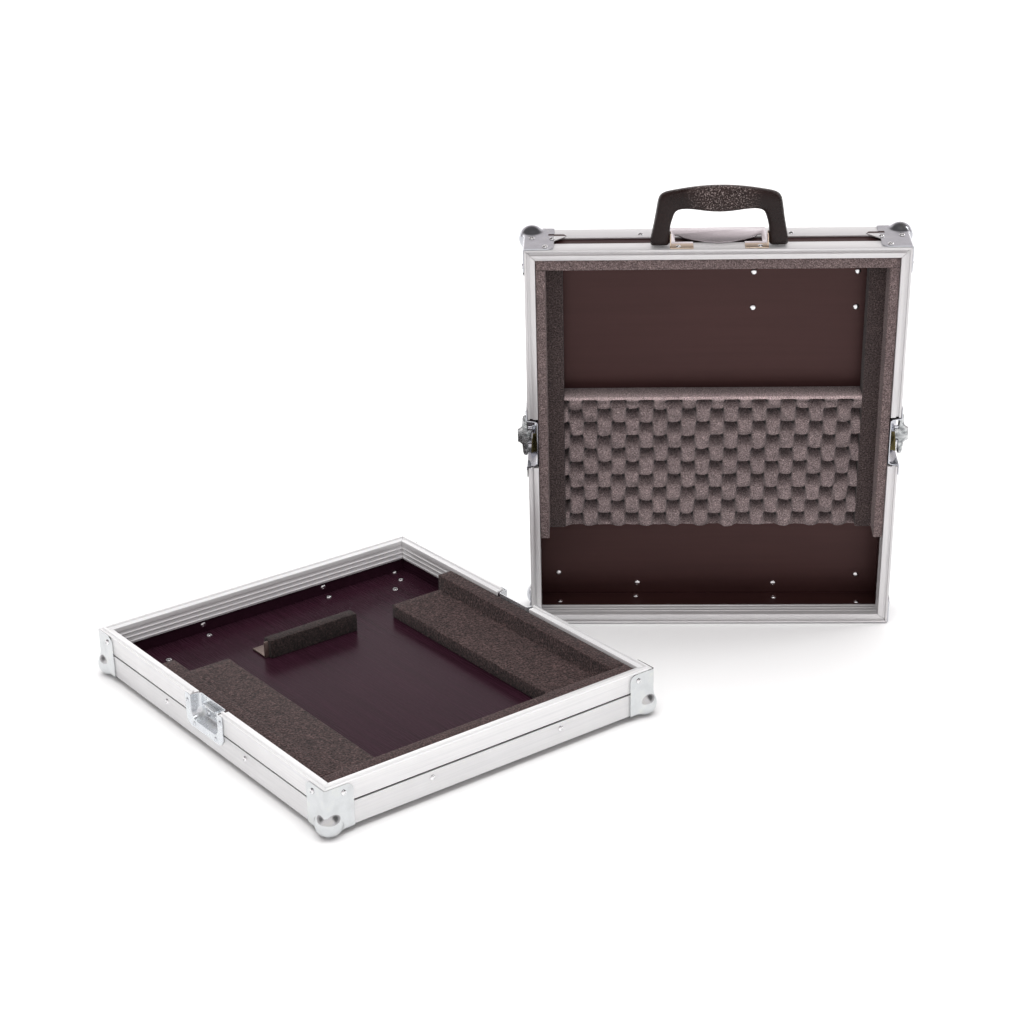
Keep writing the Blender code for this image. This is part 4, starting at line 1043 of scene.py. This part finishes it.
def inner_rivets():
    """Set the rivet heads that show inside both halves."""
    flip = Matrix.Rotation(math.pi, 4, "X")
    bm = bmesh.new()
    for x, y in TRAY_FLOOR_RIVETS:
        dome(bm, TRAY @ Matrix.Translation((x, y, PANEL_TOP)), 0.0040, 0.0026, eye=False)
    for x, up in TRAY_WALL_RIVETS:
        wall = TRAY @ side_frame("back", WALL_INSIDE) @ Matrix.Translation((WIDTH - x, up, 0))
        dome(bm, wall @ flip, 0.0037, 0.0020, eye=False)
    piece("tray_inner_rivets", bm, STEEL["tray"], None, "tray", 40.0)
    bm = bmesh.new()
    for x, y in LID_PANEL_RIVETS:
        dome(bm, LID @ Matrix.Translation((x, y, PANEL_TOP)), 0.0037, 0.0020, eye=False)
    for x, up in LID_WALL_RIVETS:
        wall = LID @ side_frame("front", WALL_INSIDE) @ Matrix.Translation((x, up, 0))
        dome(bm, wall @ flip, 0.0037, 0.0020, eye=False)
    piece("lid_inner_rivets", bm, STEEL["lid"], None, "lid", 40.0)


# Floor, light and camera

CAMERA_TURN = math.radians(2.577)
CAMERA_TILT = math.radians(22.437)
CAMERA_ROLL = math.radians(-1.2116)
CAMERA_LENS = 75.335
CAMERA_FROM_TRAY = Vector((0.2763, -1.8565, 1.1171))

# Brightness of the studio at several heights (sine of the elevation), behind and in front of the case
BACK_WALLS = [(0.0, 0.50), (0.25, 0.77), (0.54, 0.77), (0.67, 0.27), (0.82, 0.14), (1.0, 0.12)]
FRONT_WALLS = [(0.0, 0.78), (0.35, 0.86), (0.62, 0.86), (0.76, 0.30), (0.90, 0.13), (1.0, 0.12)]
SIDE_WALLS = [(0.0, 0.70), (0.20, 0.45), (0.34, 0.14), (0.60, 0.12), (1.0, 0.12)]


def studio_walls(tree):
    """Shade the room: a big soft light in front, dimmer sides and back, a dark ceiling."""
    place = tree.nodes.new("ShaderNodeTexCoord")
    split = tree.nodes.new("ShaderNodeSeparateXYZ")
    tree.links.new(place.outputs["Generated"], split.inputs["Vector"])
    shades = []
    for walls in (BACK_WALLS, SIDE_WALLS, FRONT_WALLS):
        stops = [(z, (v * 1.04, v * 0.98, v * 0.985)) for z, v in walls]
        shades.append(ramp(tree, split.outputs["Z"], stops))
    back, sides, front = shades
    behind = spread(tree, split.outputs["Y"], 0.0, 1.0, 0.35, 0.60)
    ahead = spread(tree, split.outputs["Y"], 1.0, 0.0, -0.55, -0.30)
    room = blend_colours(tree, behind, sides, back)
    return blend_colours(tree, ahead, room, front)


def soft_lamp(name, kind, spot, energy, size, mirrored):
    """Hang a lamp that looks at the case."""
    lamp = bpy.data.lights.new(name, kind)
    lamp.energy = energy
    if kind == "SUN":
        lamp.angle = math.radians(size)
    else:
        lamp.shape = "RECTANGLE"
        lamp.size, lamp.size_y = size
    light = bpy.data.objects.new(name, lamp)
    light.location = spot
    light.rotation_mode = "QUATERNION"
    light.rotation_quaternion = (Vector(spot) - Vector((0, 0, 0.1))).to_track_quat("Z", "Y")
    light.visible_glossy = mirrored
    light.visible_camera = False
    bpy.context.scene.collection.objects.link(light)


def pale_floor():
    """Lay the floor."""
    bm = bmesh.new()
    bmesh.ops.create_grid(bm, x_segments=4, y_segments=4, size=30.0)
    mesh = bpy.data.meshes.new("floor")
    bm.to_mesh(mesh)
    bm.free()
    floor = bpy.data.objects.new("floor", mesh)
    bpy.context.scene.collection.objects.link(floor)
    material, tree, surface = finish_nodes("pale floor", 0.9)
    surface.inputs["Base Color"].default_value = (0.84, 0.84, 0.84, 1.0)
    surface.inputs["Specular IOR Level"].default_value = 0.1
    mesh.materials.append(material)


def studio():
    """Light the case softly from a bright room and a few lamps."""
    world = bpy.data.worlds.new("studio")
    bpy.context.scene.world = world
    world.use_nodes = True
    back = world.node_tree.nodes["Background"]
    world.node_tree.links.new(studio_walls(world.node_tree), back.inputs["Color"])
    soft_lamp("overhead light", "SUN", (0.0, -0.10, 3.0), 2.75, 60, False)
    soft_lamp("front light", "SUN", (-0.3, -2.0, 2.4), 0.42, 50, False)
    soft_lamp("top lamp", "AREA", (0.30, -0.75, 2.30), 4.0, (0.5, 0.35), True)
    soft_lamp("side lamp", "AREA", (1.75, 0.50, 1.60), 6.0, (0.45, 0.45), True)
    soft_lamp("rear card", "AREA", (0.0, 2.3, 0.62), 16.0, (6.0, 1.1), True)
    bpy.context.scene.view_settings.view_transform = "Standard"


def camera():
    """Stand the camera where the photograph was taken from."""
    flat = math.cos(CAMERA_TILT)
    ahead = Vector((-math.sin(CAMERA_TURN) * flat, math.cos(CAMERA_TURN) * flat, -math.sin(CAMERA_TILT)))
    level = Vector((math.cos(CAMERA_TURN), math.sin(CAMERA_TURN), 0))
    upward = level.cross(ahead)
    right = level * math.cos(CAMERA_ROLL) + upward * math.sin(CAMERA_ROLL)
    up = -level * math.sin(CAMERA_ROLL) + upward * math.cos(CAMERA_ROLL)
    lens = bpy.data.cameras.new("camera")
    lens.lens = CAMERA_LENS
    lens.sensor_width = 36.0
    lens.clip_end = 60.0
    view = bpy.data.objects.new("camera", lens)
    matrix = Matrix((right, up, -ahead)).transposed().to_4x4()
    matrix.translation = TRAY.translation + CAMERA_FROM_TRAY
    view.matrix_world = matrix
    bpy.context.scene.collection.objects.link(view)
    bpy.context.scene.camera = view


camera()
pale_floor()
studio()
dress_rails()
dress_boards()
dress_corners()
corner_tongues()
dress_tray_foam()
dress_lid_foam()
dress_catches()
dress_latches()
dress_handle()
dress_bracket()
dress_rivets()
inner_rivets()
